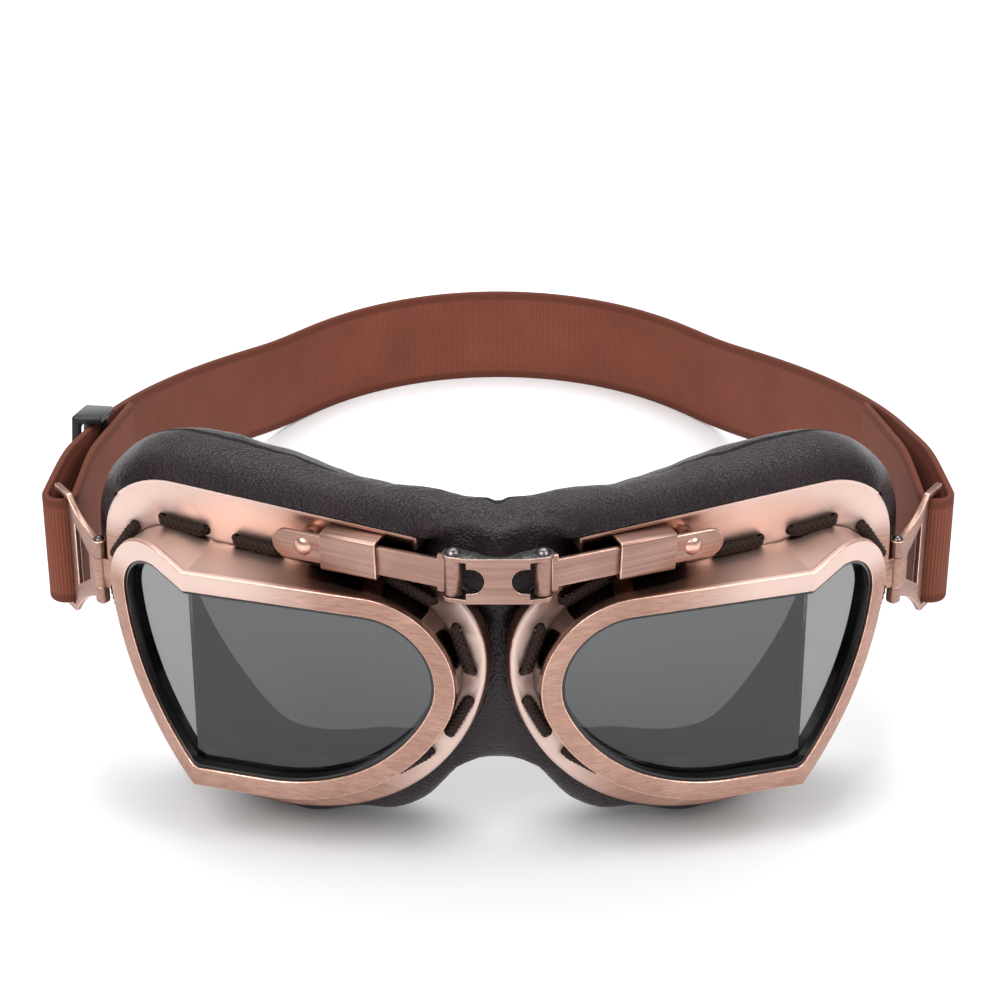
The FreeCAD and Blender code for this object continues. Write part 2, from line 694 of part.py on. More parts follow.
STRAP_LOW = BUCKLE_END_Z - STRAP_W / 2
STRAP_FALL = math.atan2(STRAP_LOW, STRAP_DOWN_Y - STRAP_LEVEL_Y)


def head_strap():
    tail_out, outside = strap_face(STRAP_T / 2)
    tail_in, inside = strap_face(-STRAP_T / 2)
    ends = [line(tail_out, tail_in), line(V(-tail_out.x, tail_out.y), V(-tail_in.x, tail_in.y))]
    loop = Part.Wire(Part.__sortEdges__(outside + inside + ends))
    ribbon = Part.Face(loop).extrude(V(0, 0, FAR))
    corners = [(0, STRAP_LOW), (STRAP_LEVEL_Y, STRAP_LOW), (STRAP_DOWN_Y, 0), (FAR, 0)]
    low = eased_path([V(-FAR, y, z) for y, z in corners], STRAP_EASE_R)
    high = low.copy()
    high.translate(V(0, 0, STRAP_W))
    sides = [line(low.Vertexes[i].Point, high.Vertexes[i].Point) for i in (0, -1)]
    band = Part.Face(Part.Wire(Part.__sortEdges__(low.Edges + high.Edges + sides)))
    return ribbon.common(band.extrude(V(2 * FAR, 0, 0))).removeSplitter()


# Slider on the right of the head, its middle bar between the two layers
def slider_seat():
    outer = on_side(SLIDER_Y)
    share = (SLIDER_Y - BAR.y) / (TAIL.y - BAR.y)
    foot = on_circle(BAR, STRAP_LOOP_R, IN_ANGLE)
    inner = foot + (TAIL - foot) * share
    fall = (SLIDER_Y - STRAP_LEVEL_Y) * math.tan(STRAP_FALL)
    return V((outer.x + inner.x) / 2, SLIDER_Y, BUCKLE_END_Z - fall)


def strap_slider():
    rail_z = STRAP_W / 2 + 2 * RUN
    half = SLIDER_L / 2
    back = -SLIDER_MID_T / 2
    pieces = [slab(back, -back, -SLIDER_BAR / 2, SLIDER_BAR / 2, -rail_z, rail_z)]
    for s in (-1, 1):
        mid = s * (half - SLIDER_BAR / 2)
        bar = slab(SLIDER_PROUD - SLIDER_BAR, SLIDER_PROUD, 0, SLIDER_BAR, -rail_z, rail_z)
        bar.translate(V(0, mid - SLIDER_BAR / 2, 0))
        pieces.append(bar)
        rail = slab(back, SLIDER_PROUD, -half, half, 0, SLIDER_RAIL)
        rail.translate(V(0, 0, rail_z if s > 0 else -rail_z - SLIDER_RAIL))
        pieces.append(rail)
    body = pieces[0].fuse(pieces[1:]).removeSplitter()
    body.rotate(V(0, 0, 0), V(1, 0, 0), -math.degrees(STRAP_FALL))
    body.rotate(V(0, 0, 0), V(0, 0, 1), math.degrees(OUT_ANGLE))
    body.translate(slider_seat())
    return mirrored(body)


# The pieces of one cup, on the wearer's left, in their places
def cup_pieces():
    front_pane, side_pane = panes()
    local = {
        "flange": flange(),
        "housing": housing(),
        "gasket": gasket(),
        "front_lens": front_pane,
        "side_lens": side_pane,
        "bridge_arm": bridge_arm(),
        "arm_keeper": arm_keeper(),
        "arm_stud": arm_stud(),
        "lace": lace(),
        "buckle": buckle(),
        "buckle_pin": buckle_pin(),
    }
    pieces = {name: placed(shape) for name, shape in local.items()}
    pieces["eye_pad"], pieces["pad_foam"] = pad_pieces()
    return pieces


def model():
    pieces = {
        "bridge_link": bridge_link(),
        "bridge_pins": Part.makeCompound([bridge_pin(-1), bridge_pin(1)]),
        "nose_pad": nose_pad(),
        "head_strap": head_strap(),
        "strap_slider": strap_slider(),
    }
    for name, shape in cup_pieces().items():
        pieces["left_" + name] = shape
        pieces["right_" + name] = mirrored(shape)
    return pieces


# The origin is on the floor under the middle of the whole
PIECES = model()
WHOLE = Part.makeCompound(list(PIECES.values())).optimalBoundingBox(False, False)
for name, shape in PIECES.items():
    shape.translate(V(-WHOLE.Center.x, -WHOLE.Center.y, 0))
    shape.exportStep("parts/" + name + ".step")
print("size", [round(v, 2) for v in (WHOLE.XLength, WHOLE.YLength, WHOLE.ZLength)])
print("shift", round(-WHOLE.Center.x, 3), round(-WHOLE.Center.y, 3), "floor", round(WHOLE.ZMin, 3))
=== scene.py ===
import math

import bmesh
import bpy
from mathutils import Matrix, Vector, noise


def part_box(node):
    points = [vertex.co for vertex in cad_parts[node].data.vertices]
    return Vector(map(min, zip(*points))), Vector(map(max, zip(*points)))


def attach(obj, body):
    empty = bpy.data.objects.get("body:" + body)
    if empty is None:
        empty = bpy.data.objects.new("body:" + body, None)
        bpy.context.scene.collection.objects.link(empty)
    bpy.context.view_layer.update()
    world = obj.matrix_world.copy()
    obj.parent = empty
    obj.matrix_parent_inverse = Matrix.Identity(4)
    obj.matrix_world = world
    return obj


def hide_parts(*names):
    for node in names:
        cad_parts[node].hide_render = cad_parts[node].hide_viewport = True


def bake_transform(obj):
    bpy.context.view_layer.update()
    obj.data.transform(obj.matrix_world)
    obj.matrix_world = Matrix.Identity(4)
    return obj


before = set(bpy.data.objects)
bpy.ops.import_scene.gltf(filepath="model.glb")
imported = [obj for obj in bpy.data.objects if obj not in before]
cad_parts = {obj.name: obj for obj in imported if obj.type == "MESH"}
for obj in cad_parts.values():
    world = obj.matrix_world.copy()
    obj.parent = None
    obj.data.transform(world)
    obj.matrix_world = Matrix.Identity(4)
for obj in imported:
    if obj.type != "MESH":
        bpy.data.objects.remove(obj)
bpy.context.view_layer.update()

# Bridge: a pressed plate with two D notches, hinged to both cups on domed pins.
# It is plated like the cups, brushed along its length, with its edges rubbed bright
# and its pins left dark. Every metal piece of the goggles takes its finish from here.
MM = 0.001
SIDES = {"left": 1, "right": -1}
CUP_YAW = math.radians(24)
CUP_OFFSET = 2.9 * MM
ROW_SHIFT = 125.0 * MM
COPPER_LIGHT = (0.52, 0.322, 0.256, 1)
COPPER_DEEP = (0.29, 0.166, 0.126, 1)
COPPER_EDGE = (0.86, 0.55, 0.44, 1)
# Painted reflection: the pale colour laid where the plated faces stand for a reflection of the white floor
# and sky.
COPPER_PAINTED_REFLECTION = (0.70, 0.530, 0.470, 1)
# Patina and painted shade: the dark colour laid in the cups' hollows and at the foot of the wall.
PATINA_AND_SHADE = (0.125, 0.088, 0.078, 1)
GUNMETAL = (0.20, 0.190, 0.185, 1)
GUNMETAL_DEEP = (0.05, 0.046, 0.045, 1)
WHITE = (1, 1, 1, 1)
CLOUD_DIM = (0.84, 0.80, 0.79, 1)
ARM_TONE = (0.86, 0.88, 0.92, 1)
BRUSH_LINES = (16, 1700, 1700)
BRUSH_ROUGH = (0.28, 0.46)
PAINTED_REFLECTION_ROUGH = 0.46
PATINA_AND_SHADE_ROUGH = 0.07
FINISH_WANDER = 2.0
MERGE = 0.002 * MM
FLAT_ANGLE = 1.0
PLATE_ROUND = 0.16 * MM
TOP_FACING = 0.8


def new_material(name):
    material = bpy.data.materials.new(name)
    material.use_nodes = True
    tree = material.node_tree
    return material, tree, tree.nodes["Principled BSDF"]


def add_node(tree, kind, **values):
    made = tree.nodes.new(kind)
    for key, value in values.items():
        if key in made.inputs:
            made.inputs[key].default_value = value
        else:
            setattr(made, key, value)
    return made


def place_pattern(tree, scale, turn=0.0, source="Object"):
    where = add_node(tree, "ShaderNodeTexCoord")
    mapping = add_node(tree, "ShaderNodeMapping", vector_type="TEXTURE", Rotation=(0, 0, turn))
    mapping.inputs["Scale"].default_value = [1 / rate for rate in scale]
    tree.links.new(where.outputs[source], mapping.inputs["Vector"])
    return mapping.outputs["Vector"]


def add_noise(tree, place, scale, detail=3.0, roughness=0.6):
    made = add_node(tree, "ShaderNodeTexNoise", Scale=scale, Detail=detail, Roughness=roughness)
    tree.links.new(place, made.inputs["Vector"])
    return made.outputs["Fac"]


def add_ramp(tree, factor, stops):
    ramp = add_node(tree, "ShaderNodeValToRGB")
    while len(ramp.color_ramp.elements) < len(stops):
        ramp.color_ramp.elements.new(0.5)
    for element, (position, colour) in zip(ramp.color_ramp.elements, stops):
        element.position = position
        element.color = colour
    tree.links.new(factor, ramp.inputs["Fac"])
    return ramp.outputs["Color"]


def add_range(tree, factor, low, high):
    made = add_node(tree, "ShaderNodeMapRange")
    made.inputs["To Min"].default_value = low
    made.inputs["To Max"].default_value = high
    tree.links.new(factor, made.inputs["Value"])
    return made.outputs["Result"]


def add_bump(tree, shader, height, strength, distance):
    bump = add_node(tree, "ShaderNodeBump", Strength=strength, Distance=distance)
    tree.links.new(height, bump.inputs["Height"])
    tree.links.new(bump.outputs["Normal"], shader.inputs["Normal"])
    return bump


def mix_colours(tree, factor, first, second, blend="MIX"):
    mix = add_node(tree, "ShaderNodeMix", data_type="RGBA", blend_type=blend)
    for socket, value in ((mix.inputs[0], factor), (mix.inputs[6], first), (mix.inputs[7], second)):
        if isinstance(value, bpy.types.NodeSocket):
            tree.links.new(value, socket)
        else:
            socket.default_value = value
    return mix.outputs[2]


def cup_mask(tree, sign, spans, wander=0.0):
    # A product of soft steps along the cup's own axes, in millimetres, with an uneven edge
    turn = Matrix.Rotation(-CUP_YAW, 3, "Z")
    where = add_node(tree, "ShaderNodeTexCoord")
    mapping = add_node(tree, "ShaderNodeMapping", Scale=(sign, 1, 1), Rotation=(0, 0, -CUP_YAW))
    mapping.inputs["Location"].default_value = turn @ Vector((-CUP_OFFSET, ROW_SHIFT, 0))
    tree.links.new(where.outputs["Object"], mapping.inputs["Vector"])
    drift = add_node(tree, "ShaderNodeTexNoise", Scale=130.0, Detail=2.0)
    tree.links.new(where.outputs["Object"], drift.inputs["Vector"])
    shifted = add_node(tree, "ShaderNodeVectorMath", operation="MULTIPLY_ADD")
    tree.links.new(drift.outputs["Color"], shifted.inputs[0])
    shifted.inputs[1].default_value = [wander * MM] * 3
    tree.links.new(mapping.outputs["Vector"], shifted.inputs[2])
    axes = add_node(tree, "ShaderNodeSeparateXYZ")
    tree.links.new(shifted.outputs[0], axes.inputs[0])
    mask = None
    for axis, clear, full in spans:
        step = add_node(tree, "ShaderNodeMapRange", interpolation_type="SMOOTHSTEP")
        step.inputs["From Min"].default_value = clear * MM
        step.inputs["From Max"].default_value = full * MM
        tree.links.new(axes.outputs[axis], step.inputs["Value"])
        if mask is None:
            mask = step.outputs["Result"]
        else:
            both = add_node(tree, "ShaderNodeMath", operation="MULTIPLY")
            tree.links.new(mask, both.inputs[0])
            tree.links.new(step.outputs["Result"], both.inputs[1])
            mask = both.outputs[0]
    return mask


def brushed_copper(name, turn, sign=1, patina_and_shade=(), wear_and_reflection=(), tone=WHITE):
    material, tree, shader = new_material(name)
    lines = add_noise(tree, place_pattern(tree, BRUSH_LINES, turn), 1.0, detail=4.0, roughness=0.75)
    clouds = add_noise(tree, place_pattern(tree, (60, 60, 60)), 1.0, detail=2.0)
    colour = add_ramp(tree, lines, [(0.25, COPPER_DEEP), (0.68, COPPER_LIGHT)])
    cloudy = add_ramp(tree, clouds, [(0.35, CLOUD_DIM), (0.65, WHITE)])
    colour = mix_colours(tree, 1.0, colour, cloudy, "MULTIPLY")
    colour = mix_colours(tree, 1.0, colour, tone, "MULTIPLY")
    rough = add_range(tree, lines, *BRUSH_ROUGH)
    # Pale patches are painted reflections; dark patches are patina and painted shade, each with its own
    # roughness.
    kinds = [(spans, COPPER_PAINTED_REFLECTION, PAINTED_REFLECTION_ROUGH) for spans in wear_and_reflection]
    kinds += [(spans, PATINA_AND_SHADE, PATINA_AND_SHADE_ROUGH) for spans in patina_and_shade]
    for spans, shade, least in kinds:
        mask = cup_mask(tree, sign, spans, FINISH_WANDER)
        colour = mix_colours(tree, mask, colour, shade)
        gloss = add_node(tree, "ShaderNodeMix", data_type="FLOAT")
        tree.links.new(mask, gloss.inputs[0])
        tree.links.new(rough, gloss.inputs[2])
        gloss.inputs[3].default_value = least
        rough = gloss.outputs[0]
    tree.links.new(colour, shader.inputs["Base Color"])
    shader.inputs["Metallic"].default_value = 1.0
    tree.links.new(rough, shader.inputs["Roughness"])
    add_bump(tree, shader, lines, strength=0.10, distance=0.05 * MM)
    return material


def rubbed_edge(name):
    material, tree, shader = new_material(name)
    specks = add_noise(tree, place_pattern(tree, (700, 700, 700)), 1.0)
    base = add_ramp(tree, specks, [(0.3, COPPER_LIGHT), (0.6, COPPER_EDGE)])
    tree.links.new(base, shader.inputs["Base Color"])
    shader.inputs["Metallic"].default_value = 1.0
    tree.links.new(add_range(tree, specks, 0.18, 0.32), shader.inputs["Roughness"])
    return material


def dark_metal(name):
    material, tree, shader = new_material(name)
    specks = add_noise(tree, place_pattern(tree, (900, 900, 900)), 1.0)
    base = add_ramp(tree, specks, [(0.3, GUNMETAL_DEEP), (0.7, GUNMETAL)])
    tree.links.new(base, shader.inputs["Base Color"])
    shader.inputs["Metallic"].default_value = 1.0
    tree.links.new(add_range(tree, specks, 0.15, 0.3), shader.inputs["Roughness"])
    return material


def cad_copy(node):
    shape = bmesh.new()
    shape.from_mesh(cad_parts[node].data)
    bmesh.ops.remove_doubles(shape, verts=shape.verts, dist=MERGE)
    flat = math.radians(FLAT_ANGLE)
    bmesh.ops.dissolve_limit(shape, angle_limit=flat, verts=shape.verts, edges=shape.edges)
    return shape


def sharp_edges(shape, least=30.0):
    edges = [e for e in shape.edges if len(e.link_faces) == 2]
    return [e for e in edges if e.calc_face_angle() > math.radians(least)]


def round_over(shape, edges, width, segments=2):
    made = bmesh.ops.bevel(shape, geom=edges, offset=width, offset_type="OFFSET", segments=segments,
                           profile=0.5, affect="EDGES", clamp_overlap=True, material=-1)
    for face in made["faces"]:
        face.material_index = 1


def finish_piece(name, shape, materials, smooth=40.0):
    bmesh.ops.triangulate(shape, faces=[f for f in shape.faces if len(f.verts) > 4])
    mesh = bpy.data.meshes.new(name)
    shape.to_mesh(mesh)
    shape.free()
    mesh.shade_smooth()
    mesh.set_sharp_from_angle(angle=math.radians(smooth))
    piece = bpy.data.objects.new(name, mesh)
    bpy.context.scene.collection.objects.link(piece)
    for material in materials:
        mesh.materials.append(material)
    return piece


def softened(node, name, body, width, materials):
    shape = cad_copy(node)
    round_over(shape, sharp_edges(shape), width)
    piece = finish_piece(name, shape, materials)
    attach(piece, body)
    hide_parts(node)
    return piece


def coat(node, material):
    # A CAD piece that is shown as it is, in a finish of its own
    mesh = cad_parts[node].data
    mesh.materials.clear()
    mesh.materials.append(material)


copper_bridge = brushed_copper("copper_bridge", 0.0, tone=ARM_TONE)
copper_edge = rubbed_edge("copper_edge")
gunmetal = dark_metal("gunmetal")
plate_finish = [copper_bridge, copper_edge, gunmetal]
plate = softened("bridge_link", "bridge_plate", "bridge", PLATE_ROUND, plate_finish)
for face in plate.data.polygons:
    if face.normal.z > TOP_FACING and face.material_index == 0:
        face.material_index = 2
coat("bridge_pins", gunmetal)

# Flange: a pressed face plate with a folded skirt and a lip along the brow.
# It is plated sheet, brushed across the face, with its edges rubbed bright. Pale patches on its face by the
# nose and at the temple are painted reflections, and a dark patch under the lip by the nose is patina and
# painted shade.
# The housing stands through it, and the lace runs through its row of punched holes.
# Patina and painted shade under the lip by the nose; painted reflections on the face by the nose and at the
# temple.
FLANGE_PATINA_AND_SHADE = [[("X", 38, 26), ("Z", 72, 80), ("Z", 89, 87)]]
FLANGE_FACE = ("Y", 2.2, 1.5)
FLANGE_PAINTED_REFLECTION = [[("X", 30, 12), ("Z", 82, 74), FLANGE_FACE], [("X", 40, 62), ("Z", 70, 78), FLANGE_FACE]]
FLANGE_ROUND = 0.22 * MM
for side, sign in SIDES.items():
    copper = brushed_copper(side + "_flange_copper", sign * CUP_YAW, sign, FLANGE_PATINA_AND_SHADE, FLANGE_PAINTED_REFLECTION)
    softened(side + "_flange", side + "_face_plate", side + "_cup", FLANGE_ROUND, [copper, copper_edge])

# Housing: the stepped cup that holds the panes, with a broad rim bent at the temple.
# It is drawn from the same plated sheet; the rim's outer edge is rolled over softly
# and its inner edge is crisp, and the wall runs back to the flange.
RIM_ROLL = 1.1 * MM
RIM_ROLL_STEPS = 4
RIM_CRISP = 0.35 * MM
RIM_CRISP_ANGLE = 50.0
RIM_FACING = 0.7
WALL_FACING = 0.3
# Patina and painted shade where the wall meets the flange, reaching further up the wall on its nose side and
# low down. A painted reflection on the upper wall at the temple.
WALL_PATINA_AND_SHADE = [[("X", 50, 30), ("Y", -6.0, -4.2)], [("Z", 60, 40), ("Y", -5.5, -3.0)], [("Y", -0.6, 1.2)]]
WALL_PAINTED_REFLECTION = [[("X", 34, 60), ("Z", 62, 72)]]


def rolled_rim(node, sign):
    shape = cad_copy(node)
    low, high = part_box(node)
    middle = (Vector(low) + Vector(high)) / 2
    forward = Vector((sign * math.sin(CUP_YAW), -math.cos(CUP_YAW), 0))
    rolled = []
    for edge in sharp_edges(shape):
        facing = max(edge.link_faces, key=lambda f: f.normal.dot(forward))
        other = min(edge.link_faces, key=lambda f: f.normal.dot(forward))
        if facing.normal.dot(forward) < RIM_FACING:
            continue
        outward = (edge.verts[0].co + edge.verts[1].co) / 2 - middle
        outward -= forward * outward.dot(forward)
        if other.normal.dot(outward) > 0 and abs(other.normal.dot(forward)) < WALL_FACING:
            rolled.append(edge)
    round_over(shape, rolled, RIM_ROLL, RIM_ROLL_STEPS)
    return shape


for side, sign in SIDES.items():
    shape = rolled_rim(side + "_housing", sign)
    round_over(shape, sharp_edges(shape, RIM_CRISP_ANGLE), RIM_CRISP)
    copper = brushed_copper(side + "_cup_copper", sign * CUP_YAW, sign, WALL_PATINA_AND_SHADE, WALL_PAINTED_REFLECTION)
    piece = finish_piece(side + "_cup_body", shape, [copper, copper_edge])
    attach(piece, side + "_cup")
    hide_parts(side + "_housing")

# Gasket and panes: a black moulded seal lines the opening and seats two flat panes.
# The panes are smoke grey, polished on both faces, and meet edge to edge at the bend.
SMOKE = (0.088, 0.092, 0.094, 1)
SMOKE_DEEP = (0.074, 0.078, 0.080, 1)
SEAL_BLACK = (0.004, 0.004, 0.0045, 1)
SEAL_GREY = (0.008, 0.008, 0.0085, 1)
FRONT_INDEX = 1.55
SIDE_INDEX = 2.6
PANE_ROUGH = 0.02


def seal_rubber(name):
    material, tree, shader = new_material(name)
    grain = add_noise(tree, place_pattern(tree, (1500, 1500, 1500)), 1.0)
    base = add_ramp(tree, grain, [(0.3, SEAL_BLACK), (0.7, SEAL_GREY)])
    tree.links.new(base, shader.inputs["Base Color"])
    tree.links.new(add_range(tree, grain, 0.12, 0.22), shader.inputs["Roughness"])
    return material


def smoke_pane(name, index):
    material, tree, shader = new_material(name)
    tint = add_noise(tree, place_pattern(tree, (9, 9, 14)), 1.0, detail=1.0)
    base = add_ramp(tree, tint, [(0.3, SMOKE_DEEP), (0.7, SMOKE)])
    tree.links.new(base, shader.inputs["Base Color"])
    shader.inputs["Roughness"].default_value = PANE_ROUGH
    shader.inputs["IOR"].default_value = index
    shader.inputs["Transmission Weight"].default_value = 1.0
    return material


seal = seal_rubber("seal_rubber")
smoke = smoke_pane("smoke_pane", FRONT_INDEX)
smoke_side = smoke_pane("smoke_side_pane", SIDE_INDEX)
for side in SIDES:
    coat(side + "_gasket", seal)
    coat(side + "_front_lens", smoke)
    coat(side + "_side_lens", smoke_side)

# Arm, keeper and stud: a flat strip from the bridge pin, held to the flange by a box
# loop and a domed stud. Strip and keeper are plated and brushed along the strip, with bright corners; the
# stud is rubbed bright all over.
ARM_ROUND = 0.2 * MM
KEEPER_ROUND = 0.22 * MM
STUD_ROUND = 0.12 * MM
for side, sign in SIDES.items():
    finish = [brushed_copper(side + "_arm_copper", sign * CUP_YAW, tone=ARM_TONE), copper_edge]
    softened(side + "_bridge_arm", side + "_arm_strip", side + "_cup", ARM_ROUND, finish)
    softened(side + "_arm_keeper", side + "_keeper_loop", side + "_cup", KEEPER_ROUND, finish)
    softened(side + "_arm_stud", side + "_arm_rivet", side + "_cup", STUD_ROUND, [copper_edge, copper_edge])

# Buckle: a pressed plate that swings on the temple, with a window and a strap slot.
# It is plated like the cups, brushed along its length, and rubbed bright round its edges.
# Its pin is dark.
BUCKLE_YAW = math.radians(56)
BUCKLE_ROUND = 0.24 * MM
for side, sign in SIDES.items():
    finish = [brushed_copper(side + "_buckle_copper", sign * BUCKLE_YAW, tone=ARM_TONE), copper_edge]
    softened(side + "_buckle", side + "_strap_buckle", side + "_buckle", BUCKLE_ROUND, finish)
    coat(side + "_buckle_pin", gunmetal)

# Lace: a flat braided cord stitched round each cup, through the holes in the flange.
# It is dark brown waxed cotton. Each stitch lies proud on the face and dives into its holes,
# and the runs behind the flange join one stitch to the next.
LACE_RINGS = 62
LACE_SIDES = 20
LACE_HALF_W = 1.4 * MM
LACE_HALF_T = 1.0 * MM
LACE_BRAID = 4.4
LACE_LOBES = 2.5
LACE_GROOVE_SHADE = (0.010, 0.005, 0.004, 1)
LACE_BROWN = (0.038, 0.018, 0.013, 1)
FRAY_LOW = (0.7, 0.7, 0.7, 1)
FRAY_HIGH = (1.1, 1.1, 1.1, 1)
FRONT_CUT = 0.4 * MM
BACK_CUT = 1.2 * MM
FRONT_LEVELS = (-1.1 * MM, 0.7 * MM)
BACK_LEVELS = (2.6 * MM, 0.9 * MM)
TAPER_LENGTH = 2.2 * MM
TAPER_TIP = 0.72
TAPER_GAIN = 0.28
BRAID_LOW = 0.74
BRAID_GAIN = 0.19
RIDGE_FROM = 0.6
RIDGE_SPAN = 1.2
LACE_FOLD = 60.0
DIVE_LENGTH = 1.6 * MM


def lace_cotton(name):
    material, tree, shader = new_material(name)
    strand = add_noise(tree, place_pattern(tree, (2600, 2600, 2600)), 1.0)
    # Painted shade: the braid's grooves take a dark colour and its ridges the lace's own brown.
    ridge = add_node(tree, "ShaderNodeAttribute", attribute_name="ridge")
    base = add_ramp(tree, ridge.outputs["Fac"], [(0.25, LACE_GROOVE_SHADE), (0.85, LACE_BROWN)])
    fray = add_ramp(tree, strand, [(0.3, FRAY_LOW), (0.7, FRAY_HIGH)])
    tree.links.new(mix_colours(tree, 1.0, base, fray, "MULTIPLY"), shader.inputs["Base Color"])
    shader.inputs["Roughness"].default_value = 0.62
    shader.inputs["Specular IOR Level"].default_value = 0.2
    add_bump(tree, shader, strand, strength=0.5, distance=0.2 * MM)
    return material


def from_cup(sign):
    turn = Matrix.Rotation(CUP_YAW, 4, "Z")
    flip = Matrix.Diagonal((sign, 1, 1, 1))
    return flip @ Matrix.Translation((CUP_OFFSET, -ROW_SHIFT, 0)) @ turn


def lace_runs(side, sign, front):
    # The straight middle of every run of the lace on one face of the flange, as pairs of ends
    shape = bmesh.new()
    shape.from_mesh(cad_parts[side + "_lace"].data)
    bmesh.ops.remove_doubles(shape, verts=shape.verts, dist=MERGE)
    shape.transform(from_cup(sign).inverted())
    level = FRONT_CUT if front else BACK_CUT
    every = shape.verts[:] + shape.edges[:] + shape.faces[:]
    bmesh.ops.bisect_plane(shape, geom=every, plane_co=(0, level, 0), plane_no=(0, 1, 0),
                           clear_outer=front, clear_inner=not front)
    seen = set()
    runs = []
    for start in shape.verts:
        if start in seen:
            continue
        seen.add(start)
        heap = [start]
        group = [start]
        while heap:
            for edge in heap.pop().link_edges:
                for vert in edge.verts:
                    if vert not in seen:
                        seen.add(vert)
                        heap.append(vert)
                        group.append(vert)
        points = [vert.co.copy() for vert in group]
        middle = sum(points, Vector()) / len(points)
        first = max(points, key=lambda p: (p - middle).length)
        last = max(points, key=lambda p: (p - first).length)
        runs.append((first, last))
    shape.free()
    return runs


def lay_stitch(lace, ridge, first, last, rise, sink):
    # One run of braid from hole to hole: flat, diamond ribbed, and sunk at both ends
    flat = Vector((last.x - first.x, 0, last.z - first.z))
    length = flat.length
    along = flat.normalized()
    across = Vector((0, 1, 0)).cross(along)
    made = bmesh.ops.create_cone(lace, cap_ends=True, segments=LACE_SIDES, radius1=1, radius2=1, depth=1)
    edges = dict.fromkeys(e for v in made["verts"] for e in v.link_edges)
    long_edges = [e for e in edges if abs(e.verts[0].co.z - e.verts[1].co.z) > 0.5]
    bmesh.ops.subdivide_edges(lace, edges=long_edges, cuts=LACE_RINGS)
    lace.verts.ensure_lookup_table()
    for vert in lace.verts:
        if vert.tag:
            continue
        vert.tag = True
        share = vert.co.z + 0.5
        angle = math.atan2(vert.co.y, vert.co.x)
        phase = share * length / MM * LACE_BRAID / 2
        braid = abs(math.cos(LACE_LOBES * angle - phase)) + abs(math.cos(LACE_LOBES * angle + phase))
        end = min(share, 1 - share) * length
        taper = min(1.0, TAPER_TIP + end / TAPER_LENGTH * TAPER_GAIN)
        size = taper * (BRAID_LOW + BRAID_GAIN * braid)
        # How far the braid stands out here, later used to paint its grooves dark as painted shade.
        vert[ridge] = (braid - RIDGE_FROM) / RIDGE_SPAN
        dip = max(0.0, 1 - end / DIVE_LENGTH) ** 2
        centre = first + flat * share
        centre.y = rise + (sink - rise) * dip
        side = across * math.cos(angle) * LACE_HALF_W * size
        vert.co = centre + side + Vector((0, math.sin(angle) * LACE_HALF_T * size, 0))


cotton = lace_cotton("lace_cotton")
for side, sign in SIDES.items():
    lace = bmesh.new()
    ridge = lace.verts.layers.float.new("ridge")
    for front, levels in ((True, FRONT_LEVELS), (False, BACK_LEVELS)):
        for first, last in lace_runs(side, sign, front):
            lay_stitch(lace, ridge, first, last, *levels)
    lace.transform(from_cup(sign))
    bmesh.ops.recalc_face_normals(lace, faces=lace.faces)
    piece = finish_piece(side + "_lace_braid", lace, [cotton], LACE_FOLD)
    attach(piece, side + "_cup")
    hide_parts(side + "_lace")

# Face pads: soft sheep leather sewn over foam, one roll round each eye, joined over the nose.
# The leather is tucked in behind the flange, puckers along its back edge, and is creased
# by a short seam over the nose. The foam behind it is faced with dark cloth.
PAD_VOXEL = 1.5 * MM
PAD_PRESSURE = 1.2
PAD_MOVE = 1.4 * MM
PAD_TUCK = 5.2 * MM
PAD_SMOOTH = 22
CLOTH_STEPS = 20
CLOTH_STIFF = 12
CLOTH_BEND = 4.0
CLOTH_SHRINK = -0.02
TUCK_FADE = 2 * MM
ROLL_FROM = 7.0 * MM
ROLL_CROWN = 14.0 * MM
LIP_FRONT = -1.8 * MM
NOSE_FRONT = 3.6 * MM
NOSE_SWELL = 4.4 * MM
HORN_X = 17.5 * MM
HORN_Z = 81.2 * MM
NOSE_ARC_R = 22.0 * MM
NOSE_ARC_Z = 60.0 * MM
FLANGE_TOP = 90.4 * MM
CORNER_AT = (78.7 * MM, 70.4 * MM)
ARCH_Z = 29.0 * MM
ARCH_HALF = 9.6 * MM
ARCH_SPREAD = 17.0 * MM
ARCH_END = 62.0 * MM
ARCH_DROP = 2.0 * MM
HEM_LINE = [("Y", 15.6, 16.2), ("Y", 17.6, 17.0), ("Z", 66, 78)]
HEM_DEPTH = 6.0
HEM_WANDER = 3.0
FOLD_SHADE_SPANS = [("Y", 9.0, 0.0)]
CREASE_DEPTH = 1.5 * MM
CREASE_HALF = 3.2 * MM
LEATHER_DARK = (0.0115, 0.0064, 0.0078, 1)
LEATHER_BROWN = (0.022, 0.0130, 0.0154, 1)
PEBBLE_TOP = (1.3, 1.3, 1.3, 1)
PEBBLE_GAP = (0.6, 0.58, 0.58, 1)
HEM_DARK = (0.002, 0.0015, 0.0015, 1)
LINING_DARK = (0.006, 0.006, 0.0065, 1)
LINING_GREY = (0.016, 0.0155, 0.0165, 1)
LEATHER_SHEEN = (1.0, 0.91, 0.94, 1)
PEBBLES = 1600.0
LEATHER_ROUGH = (0.24, 0.34)
LINING_ROUGH = 0.92
LEATHER_GLOSS = (0.38, 0.12)


